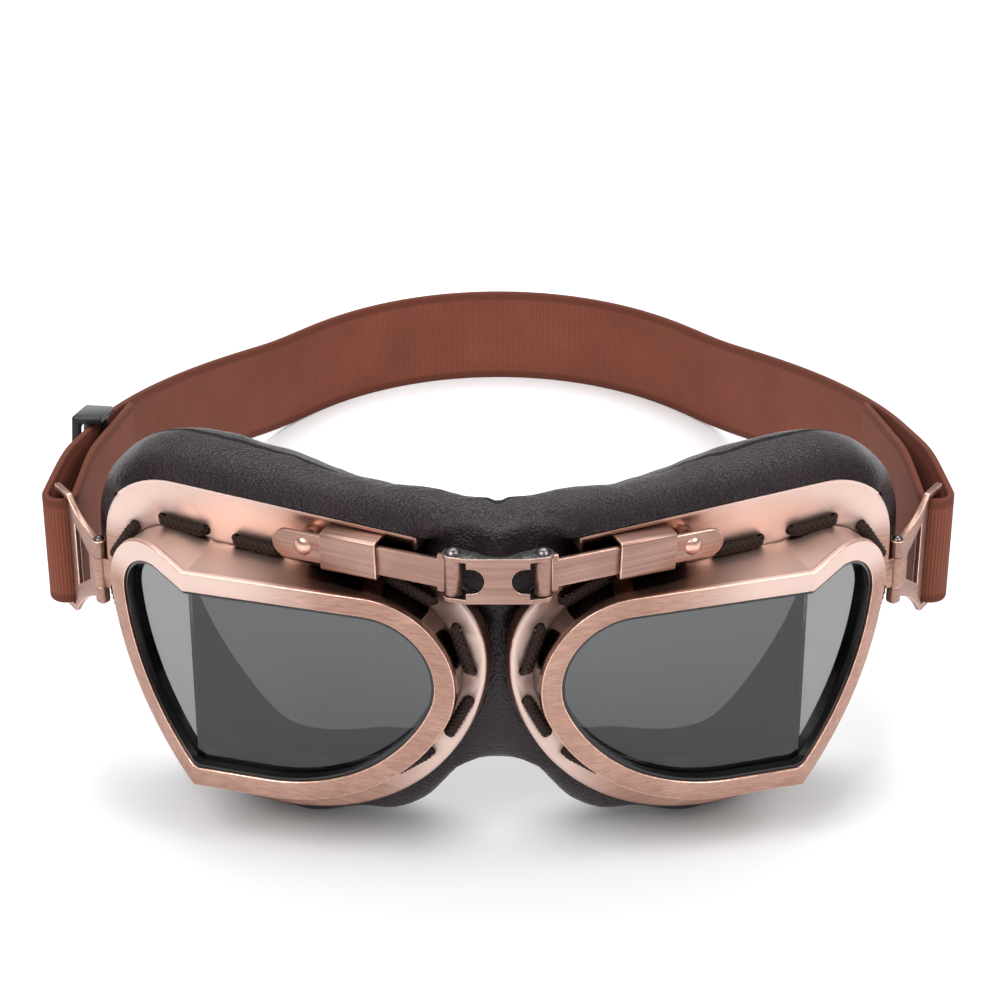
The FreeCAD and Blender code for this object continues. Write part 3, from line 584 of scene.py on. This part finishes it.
def black_leather(name, sign):
    material, tree, shader = new_material(name)
    place = place_pattern(tree, (1, 1, 1))
    grain = add_node(tree, "ShaderNodeTexVoronoi", Scale=PEBBLES, feature="F1")
    tree.links.new(place, grain.inputs["Vector"])
    pores = add_noise(tree, place, 700.0)
    cloud = add_noise(tree, place, 50.0)
    base = add_ramp(tree, cloud, [(0.32, LEATHER_DARK), (0.70, LEATHER_BROWN)])
    wear_and_reflection = add_ramp(tree, grain.outputs["Distance"], [(0.05, PEBBLE_TOP), (0.6, PEBBLE_GAP)])
    base = mix_colours(tree, 1.0, base, wear_and_reflection, "MULTIPLY")
    hem = cup_mask(tree, sign, HEM_LINE, HEM_WANDER)
    base = mix_colours(tree, hem, base, HEM_DARK)
    nap = add_noise(tree, place, 1800.0, detail=4.0)
    cloth = add_ramp(tree, nap, [(0.3, LINING_DARK), (0.7, LINING_GREY)])
    lining = add_node(tree, "ShaderNodeAttribute", attribute_name="lining")
    inside = add_node(tree, "ShaderNodeMath", operation="MAXIMUM")
    tree.links.new(lining.outputs["Fac"], inside.inputs[0])
    tree.links.new(hem, inside.inputs[1])
    tree.links.new(mix_colours(tree, lining.outputs["Fac"], base, cloth), shader.inputs["Base Color"])
    rough = add_node(tree, "ShaderNodeMix", data_type="FLOAT")
    tree.links.new(inside.outputs[0], rough.inputs[0])
    tree.links.new(add_range(tree, pores, *LEATHER_ROUGH), rough.inputs[2])
    rough.inputs[3].default_value = LINING_ROUGH
    tree.links.new(rough.outputs[0], shader.inputs["Roughness"])
    # Painted shade: the leather reflects less towards the flange, where the lip shades it.
    fold_shade = cup_mask(tree, sign, FOLD_SHADE_SPANS)
    tree.links.new(add_range(tree, fold_shade, *LEATHER_GLOSS), shader.inputs["Specular IOR Level"])
    shader.inputs["Specular Tint"].default_value = LEATHER_SHEEN
    sunk = add_node(tree, "ShaderNodeMath", operation="MULTIPLY_ADD")
    tree.links.new(hem, sunk.inputs[0])
    sunk.inputs[1].default_value = HEM_DEPTH
    tree.links.new(grain.outputs["Distance"], sunk.inputs[2])
    grained = add_bump(tree, shader, sunk.outputs[0], strength=0.75, distance=0.32 * MM)
    grained.invert = True
    return material


def baked(piece):
    # The piece's mesh with its modifiers settled into it
    settled = piece.evaluated_get(bpy.context.evaluated_depsgraph_get())
    result = bpy.data.meshes.new_from_object(settled)
    piece.modifiers.clear()
    piece.data = result


def in_cup(point):
    # A point's place across the cup and back from the flange's face
    x = abs(point.x) - CUP_OFFSET
    y = point.y + ROW_SHIFT
    out = x * math.cos(CUP_YAW) + y * math.sin(CUP_YAW)
    return out, y * math.cos(CUP_YAW) - x * math.sin(CUP_YAW)


def relax(piece, times, chosen=None):
    # Smooths the whole mesh, or only the points with the chosen numbers
    shape = bmesh.new()
    shape.from_mesh(piece.data)
    shape.verts.ensure_lookup_table()
    verts = shape.verts if chosen is None else [shape.verts[index] for index in chosen]
    for _ in range(times):
        bmesh.ops.smooth_vert(shape, verts=verts, factor=0.5,
                              use_axis_x=True, use_axis_y=True, use_axis_z=True)
    shape.to_mesh(piece.data)
    shape.free()


def ease(value, low, high):
    share = min(1.0, max(0.0, (value - low) / (high - low)))
    return share * share * (3 - 2 * share)


def above_flange(out, up):
    # How far a point lies outside the flange's top edge, and the way straight out from it
    if out < CORNER_AT[0]:
        return up - FLANGE_TOP, Vector((0, 1))
    way = Vector((out - CORNER_AT[0], up - CORNER_AT[1]))
    return way.length - (FLANGE_TOP - CORNER_AT[1]), way.normalized()


pad_nodes = ["nose_pad"] + [side + part for side in SIDES for part in ("_eye_pad", "_pad_foam")]
pad_shape = bmesh.new()
for node in pad_nodes:
    pad_shape.from_mesh(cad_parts[node].data)
bmesh.ops.remove_doubles(pad_shape, verts=pad_shape.verts, dist=MERGE)
roll = finish_piece("pad_roll", pad_shape, [])
voxels = roll.modifiers.new("voxels", "REMESH")
voxels.mode = "VOXEL"
voxels.voxel_size = PAD_VOXEL
baked(roll)
relax(roll, PAD_SMOOTH)
tucked = roll.vertex_groups.new(name="tucked")
for vert in roll.data.vertices:
    back = in_cup(vert.co)[1]
    hold = min(1.0, max(0.0, (PAD_TUCK + TUCK_FADE - back) / TUCK_FADE))
    if hold > 0:
        tucked.add([vert.index], hold, "REPLACE")
before = [vert.co.copy() for vert in roll.data.vertices]
cloth = roll.modifiers.new("swell", "CLOTH")
cloth.settings.vertex_group_mass = "tucked"
cloth.settings.use_pressure = True
cloth.settings.uniform_pressure_force = PAD_PRESSURE
cloth.settings.shrink_min = CLOTH_SHRINK
cloth.settings.tension_stiffness = CLOTH_STIFF
cloth.settings.compression_stiffness = CLOTH_STIFF
cloth.settings.bending_stiffness = CLOTH_BEND
cloth.settings.effector_weights.gravity = 0
for step in range(1, CLOTH_STEPS + 1):
    bpy.context.scene.frame_set(step)
baked(roll)
bpy.context.scene.frame_set(1)
for vert, start in zip(roll.data.vertices, before):
    move = vert.co - start
    if move.length > PAD_MOVE:
        move *= PAD_MOVE / move.length
    vert.co = start + move
relax(roll, times=4)

# The roll is then worked one point at a time: thinner over the brow and rounded under the nose
BROW_DIP = ((0, 0.6), (10, 1.8), (22, 4.8), (34, 4.6), (46, 2.2), (66, 0.8), (100, 0.0))
BROW_HIGH = (72 * MM, 90 * MM)
BROW_BACK = (12 * MM, 18 * MM)
ARCH_POWER = 1.3
ARCH_LOBE = (2 * MM, 12 * MM)
ARCH_FADE = (14 * MM, 26 * MM)
ARCH_HIGH = (32 * MM, 52 * MM)
for vert in roll.data.vertices:
    here = vert.co.copy()
    back = in_cup(here)[1]
    wide = abs(here.x)
    for (near_x, near_dip), (far_x, far_dip) in zip(BROW_DIP, BROW_DIP[1:]):
        if near_x * MM <= wide < far_x * MM:
            dip = near_dip + (far_dip - near_dip) * (wide / MM - near_x) / (far_x - near_x)
            here.z -= dip * MM * ease(here.z, *BROW_HIGH) * ease(back, *BROW_BACK)
    if here.z < ARCH_Z and wide < ARCH_END:
        inner = ARCH_HALF + ARCH_SPREAD * ((ARCH_Z - here.z) / ARCH_Z) ** ARCH_POWER
        share = (wide - ARCH_HALF) / (ARCH_END - ARCH_HALF)
        here.x = math.copysign(inner + (ARCH_END - inner) * max(0.0, share), here.x)
    drop = (ARCH_DROP + ARCH_DROP * ease(wide, *ARCH_LOBE)) * (1 - ease(wide, *ARCH_FADE))
    here.z -= drop * (1 - ease(here.z, *ARCH_HIGH))
    vert.co = here
relax(roll, times=4)

# Between the two flanges the leather swells forward, close behind the bridge
NOSE_FADE = 3.2 * MM
NOSE_CLEAR = 0.4 * MM
NOSE_HIGH = (58 * MM, 80 * MM)
NOSE_BACK = (9 * MM, 17 * MM)
NOSE_PART = 0.25
swollen = []
for vert in roll.data.vertices:
    here = vert.co
    room = HORN_X
    if here.z < HORN_Z:
        up = min(here.z - NOSE_ARC_Z, NOSE_ARC_R)
        edge = NOSE_ARC_R - math.sqrt(NOSE_ARC_R ** 2 - max(up, 0.0) ** 2)
        room = CUP_OFFSET + edge * math.cos(CUP_YAW)
    share = (1 - ease(abs(here.x), room - NOSE_FADE, room - NOSE_CLEAR)) * ease(here.z, *NOSE_HIGH)
    share *= 1 - ease(here.y + ROW_SHIFT, *NOSE_BACK)
    here.y -= NOSE_SWELL * share
    if share > NOSE_PART:
        swollen.append(vert.index)
relax(roll, times=3, chosen=swollen)

# Over the brow the leather is drawn forward, down on the flange's folded edge and up to its lip
LIP_SPAN = (8 * MM, 14.5 * MM)
LIP_TURN = (0.2, 0.8)
LIP_PRESS = 1.3 * MM
LIP_LEAST = 0.25 * MM
ROLL_POWER = 1.25
CREST_LOW = 80 * MM
CREST_BACK = 16 * MM
CREST_RISE = 0.8 * MM
BRIDGE_SPAN = 15.5 * MM
BRIDGE_BACK = 13 * MM
for vert in roll.data.vertices:
    here = vert.co.copy()
    out, back = in_cup(here)
    rise, way = above_flange(out, here.z)
    share = min(1.0, max(0.0, (back - ROLL_FROM) / (ROLL_CROWN - ROLL_FROM)))
    if rise > 0 and share < 1 and here.z > CORNER_AT[1]:
        hold = ease(way.y, *LIP_TURN)
        front = NOSE_FRONT + (LIP_FRONT - NOSE_FRONT) * ease(abs(here.x), *LIP_SPAN)
        pressed = max(LIP_LEAST, rise - LIP_PRESS * (1 - share) ** 2)
        drawn = front + (ROLL_CROWN - front) * share ** ROLL_POWER
        lift = (pressed - rise) * hold
        spot = Vector((out + way.x * lift, back + (drawn - back) * hold, here.z + way.y * lift))
        vert.co = from_cup(1 if here.x > 0 else -1) @ spot
crest = []
near_bridge = []
for vert in roll.data.vertices:
    out, back = in_cup(vert.co)
    rise = above_flange(out, vert.co.z)[0]
    if vert.co.z > CREST_LOW and 0 < back < CREST_BACK and rise > CREST_RISE:
        crest.append(vert.index)
    if abs(vert.co.x) < BRIDGE_SPAN and vert.co.z > HORN_Z and back < BRIDGE_BACK:
        near_bridge.append(vert.index)
relax(roll, times=8, chosen=near_bridge)
relax(roll, times=3, chosen=crest)

# Last come the slow swells of the foam, the puckers along the back edge and the crease at the nose
PUCKER_HIGH = (70 * MM, 92 * MM)
PUCKER_BACK = (16 * MM, 21 * MM)
PUCKER_RATE = (190, 60, 40)
PUCKER_SIZE = 0.5
SWELL_BACK = (PAD_TUCK, 12 * MM)
SWELL_RATE = (28, 28, 28)
SWELL_SIZE = 0.4
for vert in roll.data.vertices:
    here = vert.co.copy()
    back = in_cup(here)[1]
    high = ease(here.z, *PUCKER_HIGH)
    near = max(0.0, 1 - abs(here.x) / CREASE_HALF)
    pucker = ease(back, *PUCKER_BACK) * high
    ripple = noise.noise(here * Vector(PUCKER_RATE))
    swell = noise.noise(here * Vector(SWELL_RATE))
    here += vert.normal * (swell * ease(back, *SWELL_BACK) * SWELL_SIZE + ripple * pucker * PUCKER_SIZE) * MM
    here.z -= CREASE_DEPTH * near * near * high
    here.z = max(here.z, 0.0)
    vert.co = here

# The roll is cut in two over the nose, and the foam inside each eye is faced with cloth
EYE_OUT = 52 * MM
EYE_UP = 48 * MM
EYE_FACING = (0.35, 0.55)
EYE_REACH = (44 * MM, 48 * MM)
LINING_BACK = (25.6 * MM, 26.4 * MM)
PAD_FOLD = 80.0
CUT_MERGE = 0.01 * MM
for side, sign in SIDES.items():
    leather = black_leather(side + "_black_leather", sign)
    half = bmesh.new()
    half.from_mesh(roll.data)
    lined = half.verts.layers.float.new("lining")
    half.normal_update()
    for vert in half.verts:
        out, back = in_cup(vert.co)
        inward = Vector((sign * (EYE_OUT - out), 0, EYE_UP - vert.co.z))
        facing_eye = vert.normal.dot(inward) / max(inward.length, MM)
        hole = ease(facing_eye, *EYE_FACING) * (1 - ease(inward.length, *EYE_REACH))
        vert[lined] = max(hole, ease(back, *LINING_BACK))
    every = half.verts[:] + half.edges[:] + half.faces[:]
    cut = bmesh.ops.bisect_plane(half, geom=every, dist=CUT_MERGE, plane_co=(0, 0, 0),
                                 plane_no=(-sign, 0, 0), clear_outer=True)
    rim_edges = [e for e in cut["geom_cut"] if isinstance(e, bmesh.types.BMEdge)]
    bmesh.ops.holes_fill(half, edges=rim_edges, sides=0)
    piece = finish_piece(side + "_leather_pad", half, [leather], PAD_FOLD)
    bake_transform(piece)
    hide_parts(*(["nose_pad"] if sign > 0 else []), side + "_eye_pad", side + "_pad_foam")
bpy.data.objects.remove(roll)

# Strap: one band of woven elastic, folded round the bars of both buckles and sewn down.
# It is red brown, with fine ribs across it, and is coloured darker along both edges.
# The band runs level past the temples and then falls to the table behind the head.
STRAP_W = 29.0 * MM
STRAP_T = 1.6 * MM
STRAP_LOW = 42.5 * MM
LEVEL_Y = 80.0 * MM
DOWN_Y = 223.0 * MM
EASE = 16.0 * MM
JOIN_Y = 140.0 * MM
HINGE_U = 101.2 * MM
HINGE_BACK = 1.0 * MM
BAR_REACH = 19.75 * MM
LOOP_R = 3.6 * MM
SIDE_AT = Vector((104.0, 110.0)) * MM
NAPE_R = 78.0 * MM
NAPE_AT = Vector((0.0, 177.0)) * MM
TAIL_Y = 135.0 * MM
TAIL_GAP = 2.2 * MM
STRAP_ROUND = 0.4 * MM
STRAP_CAP = 1.0 * MM
STRAP_FOLD = 50.0
STRAP_SHARP = 60.0
BAND_STEPS = 150
LOOP_STEPS = 190
STRAP_EDGE_FROM = 11.9 * MM
STRAP_EDGE_TO = 12.6 * MM
ELASTIC_DEEP = (0.165, 0.046, 0.027, 1)
ELASTIC_LIGHT = (0.250, 0.080, 0.050, 1)
STRAP_EDGE_DARK = (0.130, 0.038, 0.023, 1)
FADE_LOW = (0.86, 0.84, 0.83, 1)
FADE_HIGH = (1.06, 1.06, 1.06, 1)
FLECK_LOW = (0.86, 0.86, 0.86, 1)
FLECK_HIGH = (1.1, 1.1, 1.1, 1)
RIB_RATE = 430.0
WARP_RATE = 260.0


def woven_elastic(name):
    material, tree, shader = new_material(name)
    place = place_pattern(tree, (1, 1, 1), source="UV")
    ribs = add_node(tree, "ShaderNodeTexWave", bands_direction="X", Scale=RIB_RATE, Distortion=0.6)
    ribs.inputs["Detail Scale"].default_value = 900.0
    warp = add_node(tree, "ShaderNodeTexWave", bands_direction="Y", Scale=WARP_RATE, Distortion=0.3)
    tree.links.new(place, ribs.inputs["Vector"])
    tree.links.new(place, warp.inputs["Vector"])
    both = add_node(tree, "ShaderNodeMath", operation="MULTIPLY")
    tree.links.new(ribs.outputs["Fac"], both.inputs[0])
    tree.links.new(add_range(tree, warp.outputs["Fac"], 0.65, 1.0), both.inputs[1])
    fuzz = add_noise(tree, place_pattern(tree, (2200, 2200, 2200)), 1.0)
    cloud = add_noise(tree, place_pattern(tree, (40, 40, 40)), 1.0, detail=2.0)
    base = add_ramp(tree, both.outputs[0], [(0.0, ELASTIC_DEEP), (0.9, ELASTIC_LIGHT)])
    shade = add_ramp(tree, cloud, [(0.3, FADE_LOW), (0.7, FADE_HIGH)])
    base = mix_colours(tree, 1.0, base, shade, "MULTIPLY")
    flecks = add_ramp(tree, fuzz, [(0.3, FLECK_LOW), (0.75, FLECK_HIGH)])
    base = mix_colours(tree, 1.0, base, flecks, "MULTIPLY")
    # The band is coloured darker along both edges.
    across = add_node(tree, "ShaderNodeSeparateXYZ")
    tree.links.new(place, across.inputs[0])
    edge = add_node(tree, "ShaderNodeMath", operation="ABSOLUTE")
    tree.links.new(across.outputs["Y"], edge.inputs[0])
    near_edge = add_node(tree, "ShaderNodeMapRange")
    near_edge.inputs["From Min"].default_value = STRAP_EDGE_FROM
    near_edge.inputs["From Max"].default_value = STRAP_EDGE_TO
    tree.links.new(edge.outputs[0], near_edge.inputs["Value"])
    base = mix_colours(tree, near_edge.outputs["Result"], base, STRAP_EDGE_DARK)
    tree.links.new(base, shader.inputs["Base Color"])
    shader.inputs["Roughness"].default_value = 0.82
    shader.inputs["Specular IOR Level"].default_value = 0.2
    add_bump(tree, shader, both.outputs[0], strength=0.4, distance=0.25 * MM)
    return material


def turned(point, angle):
    return Matrix.Rotation(angle, 2) @ Vector(point)


def round_from(centre, radius, angle):
    return centre + radius * Vector((math.cos(angle), math.sin(angle)))


def bearing(way):
    return math.atan2(way.y, way.x)


hinge_at = turned((HINGE_U, HINGE_BACK), CUP_YAW) + Vector((CUP_OFFSET, 0))
bar_at = hinge_at + turned((BAR_REACH, 0), BUCKLE_YAW)
out_turn = bearing(SIDE_AT - bar_at) - math.acos(LOOP_R / (SIDE_AT - bar_at).length)
side_in = -Vector((math.cos(out_turn), math.sin(out_turn)))
side_reach = SIDE_AT - NAPE_AT
side_r = (NAPE_R ** 2 - side_reach.length_squared) / (2 * (side_in.dot(side_reach) + NAPE_R))
side_at = SIDE_AT + side_in * side_r
nape_turn = bearing(NAPE_AT - side_at)
side_turn = bearing(-side_in)
join_turn = math.asin((JOIN_Y - side_at.y) / side_r)
tail_top = round_from(side_at, side_r, math.asin((TAIL_Y - side_at.y) / side_r))
tail_at = tail_top + (side_at - tail_top).normalized() * TAIL_GAP
in_turn = bearing(tail_at - bar_at) + math.acos(LOOP_R / (tail_at - bar_at).length)


def arc_run(centre, radius, start, end):
    return abs(end - start) * radius, lambda t: round_from(centre, radius, start + (end - start) * t)


def line_run(first, last):
    return (last - first).length, lambda t: first.lerp(last, t)


band_route = [
    arc_run(NAPE_AT, NAPE_R, math.pi / 2, nape_turn),
    arc_run(side_at, side_r, nape_turn, join_turn),
]
loop_route = [
    arc_run(side_at, side_r, join_turn, side_turn),
    line_run(SIDE_AT, round_from(bar_at, LOOP_R, out_turn)),
    arc_run(bar_at, LOOP_R, out_turn + 2 * math.pi, in_turn),
    line_run(round_from(bar_at, LOOP_R, in_turn), tail_at),
]


def strap_low(y):
    # The band's lower edge: level, then falling in a straight run, with both corners eased
    fall = STRAP_LOW / (DOWN_Y - LEVEL_Y)
    start = math.log1p(math.exp((y - LEVEL_Y) / EASE * 4)) * EASE / 4
    end = math.log1p(math.exp((y - DOWN_Y) / EASE * 4)) * EASE / 4
    return STRAP_LOW - fall * (start - end)


def strap_piece(name, route, sign, steps, begin):
    ribbon = bmesh.new()
    weave = ribbon.loops.layers.uv.new("weave")
    total = sum(length for length, _ in route)
    lay = Matrix.Diagonal((total / 2, STRAP_W / 2, 1, 1))
    bmesh.ops.create_grid(ribbon, x_segments=steps, y_segments=8, size=1, matrix=lay)
    for face in ribbon.faces:
        for corner in face.loops:
            corner[weave].uv = (begin + corner.vert.co.x + total / 2, corner.vert.co.y)
    for vert in ribbon.verts:
        run = min(max(vert.co.x + total / 2, 0), total)
        for length, spot in route:
            if run <= length:
                break
            run -= length
        place = spot(min(1.0, run / length))
        vert.co = Vector((sign * place.x, place.y - ROW_SHIFT, strap_low(place.y) + STRAP_W / 2 + vert.co.y))
    if sign < 0:
        bmesh.ops.reverse_faces(ribbon, faces=ribbon.faces)
    piece = finish_piece(name, ribbon, [elastic], STRAP_FOLD)
    wall = piece.modifiers.new("wall", "SOLIDIFY")
    wall.thickness = STRAP_T
    wall.offset = 0
    baked(piece)
    ribbon = bmesh.new()
    ribbon.from_mesh(piece.data)
    ends = [Vector((sign * spot.x, spot.y - ROW_SHIFT)) for spot in (route[0][1](0.0), route[-1][1](1.0))]
    caps = {v for v in ribbon.verts for end in ends if (v.co.xy - end).length < STRAP_CAP}
    sides = [e for e in sharp_edges(ribbon, STRAP_SHARP) if not caps.issuperset(e.verts)]
    round_over(ribbon, sides, STRAP_ROUND)
    for face in ribbon.faces:
        face.material_index = 0
    ribbon.to_mesh(piece.data)
    ribbon.free()
    piece.data.shade_smooth()
    piece.data.set_sharp_from_angle(angle=math.radians(STRAP_FOLD))
    return piece


elastic = woven_elastic("woven_elastic")
band_length = sum(length for length, _ in band_route)
for side, sign in SIDES.items():
    band = strap_piece(side + "_strap_band", band_route, sign, BAND_STEPS, 0.0)
    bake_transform(band)
    loop = strap_piece(side + "_strap_loop", loop_route, sign, LOOP_STEPS, band_length)
    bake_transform(loop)
    if sign > 0:
        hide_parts("head_strap")

# Slider: a moulded three bar slide on the right of the strap, to set the strap's length.
# It is hard black plastic with rounded edges, and the strap runs over its middle bar.
SLIDE_WAY = Vector((-0.1037, -0.9529, 0.2849))
SLIDE_ROOM = 3.3 * MM
SLIDE_ROUND = 1.0 * MM
SLIDE_FOLD = 50.0
PLASTIC_BLACK = (0.010, 0.010, 0.011, 1)
PLASTIC_GREY = (0.020, 0.020, 0.021, 1)


def black_plastic(name):
    material, tree, shader = new_material(name)
    grain = add_noise(tree, place_pattern(tree, (1400, 1400, 1400)), 1.0, detail=2.0)
    base = add_ramp(tree, grain, [(0.3, PLASTIC_BLACK), (0.7, PLASTIC_GREY)])
    tree.links.new(base, shader.inputs["Base Color"])
    tree.links.new(add_range(tree, grain, 0.28, 0.40), shader.inputs["Roughness"])
    shader.inputs["Specular IOR Level"].default_value = 0.35
    add_bump(tree, shader, grain, strength=0.08, distance=0.08 * MM)
    return material


plastic = black_plastic("black_plastic")
slide = cad_copy("strap_slider")
slide_low, slide_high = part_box("strap_slider")
slide_at = (Vector(slide_low) + Vector(slide_high)) / 2
slide_up = (Vector((0, 0, 1)) - SLIDE_WAY * SLIDE_WAY.z).normalized()
# The lower rail stands clear of the band, which lies flatter near the buckle than the slide runs
low_rail = [v for v in slide.verts if (v.co - slide_at).dot(slide_up) < -STRAP_W / 2]
bmesh.ops.translate(slide, verts=low_rail, vec=-slide_up * SLIDE_ROOM)
round_over(slide, sharp_edges(slide), SLIDE_ROUND, segments=3)
slide_piece = finish_piece("strap_slide", slide, [plastic, plastic], SLIDE_FOLD)
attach(slide_piece, "strap_slider_body")
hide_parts("strap_slider")

# Stage: a plain white floor and soft light, with the camera where the photograph's was.
# The camera looks down at thirty degrees through a long lens, level with the bridge.
CAMERA_AT = (0.44 * MM, -705.2 * MM, 438.0 * MM)
CAMERA_TO = (0.44 * MM, -125.0 * MM, 103.0 * MM)
CAMERA_LENS = 109.6
ROOM_WALL = (0.34, 0.34, 0.35, 1)
ROOM_ROOF = (0.50, 0.50, 0.51, 1)
ROOM_LOW = [(0.06, WHITE), (0.22, ROOM_WALL), (0.42, ROOM_WALL)]
ROOM_HIGH = [(0.66, WHITE), (0.84, WHITE), (0.97, ROOM_ROOF)]
PAPER = (0.93, 0.93, 0.94, 1)
FLOOR_HALF = 6.0
SKY_SOFT = 0.55
SENSOR = 36.0

floor_shape = bmesh.new()
bmesh.ops.create_grid(floor_shape, x_segments=1, y_segments=1, size=FLOOR_HALF)
floor_material, tree, shader = new_material("paper_floor")
shader.inputs["Base Color"].default_value = PAPER
shader.inputs["Roughness"].default_value = 0.9
floor = finish_piece("studio_floor", floor_shape, [floor_material])

world = bpy.data.worlds.new("studio")
bpy.context.scene.world = world
world.use_nodes = True
tree = world.node_tree
sky = tree.nodes["Background"]
path = add_node(tree, "ShaderNodeLightPath")
seen = add_node(tree, "ShaderNodeMath", operation="MAXIMUM")
seen_all = add_node(tree, "ShaderNodeMath", operation="MAXIMUM")
tree.links.new(path.outputs["Is Camera Ray"], seen.inputs[0])
tree.links.new(path.outputs["Is Glossy Ray"], seen.inputs[1])
tree.links.new(seen.outputs[0], seen_all.inputs[0])
tree.links.new(path.outputs["Is Transmission Ray"], seen_all.inputs[1])
tree.links.new(add_range(tree, seen_all.outputs[0], SKY_SOFT, 1.0), sky.inputs["Strength"])
heading = add_node(tree, "ShaderNodeTexCoord")
height = add_node(tree, "ShaderNodeSeparateXYZ")
tree.links.new(heading.outputs["Generated"], height.inputs[0])
room = add_ramp(tree, height.outputs["Z"], ROOM_LOW + ROOM_HIGH)
tree.links.new(mix_colours(tree, path.outputs["Is Glossy Ray"], WHITE, room), sky.inputs["Color"])


def soft_lamp(name, place, aim, size, watts):
    lamp = bpy.data.lights.new(name, "AREA")
    lamp.energy = watts
    lamp.shape = "RECTANGLE"
    lamp.size, lamp.size_y = size
    light = bpy.data.objects.new(name, lamp)
    light.location = place
    light.rotation_euler = (Vector(aim) - Vector(place)).to_track_quat("-Z", "Y").to_euler()
    bpy.context.scene.collection.objects.link(light)


soft_lamp("key_lamp", place=(-0.7, -0.8, 1.3), aim=(0, 0, 0), size=(0.9, 0.9), watts=14)
soft_lamp("fill_lamp", place=(0.9, -0.5, 1.1), aim=(0, 0, 0), size=(0.8, 0.8), watts=8)
soft_lamp("top_lamp", place=(0.0, 0.5, 1.4), aim=(0, -0.1, 0), size=(1.2, 0.7), watts=12)

camera_data = bpy.data.cameras.new("photo_camera")
camera_data.lens = CAMERA_LENS
camera_data.sensor_width = SENSOR
camera = bpy.data.objects.new("photo_camera", camera_data)
camera.location = CAMERA_AT
camera.rotation_euler = (Vector(CAMERA_TO) - Vector(CAMERA_AT)).to_track_quat("-Z", "Y").to_euler()
bpy.context.scene.collection.objects.link(camera)
bpy.context.scene.camera = camera
bpy.context.scene.view_settings.view_transform = "Standard"
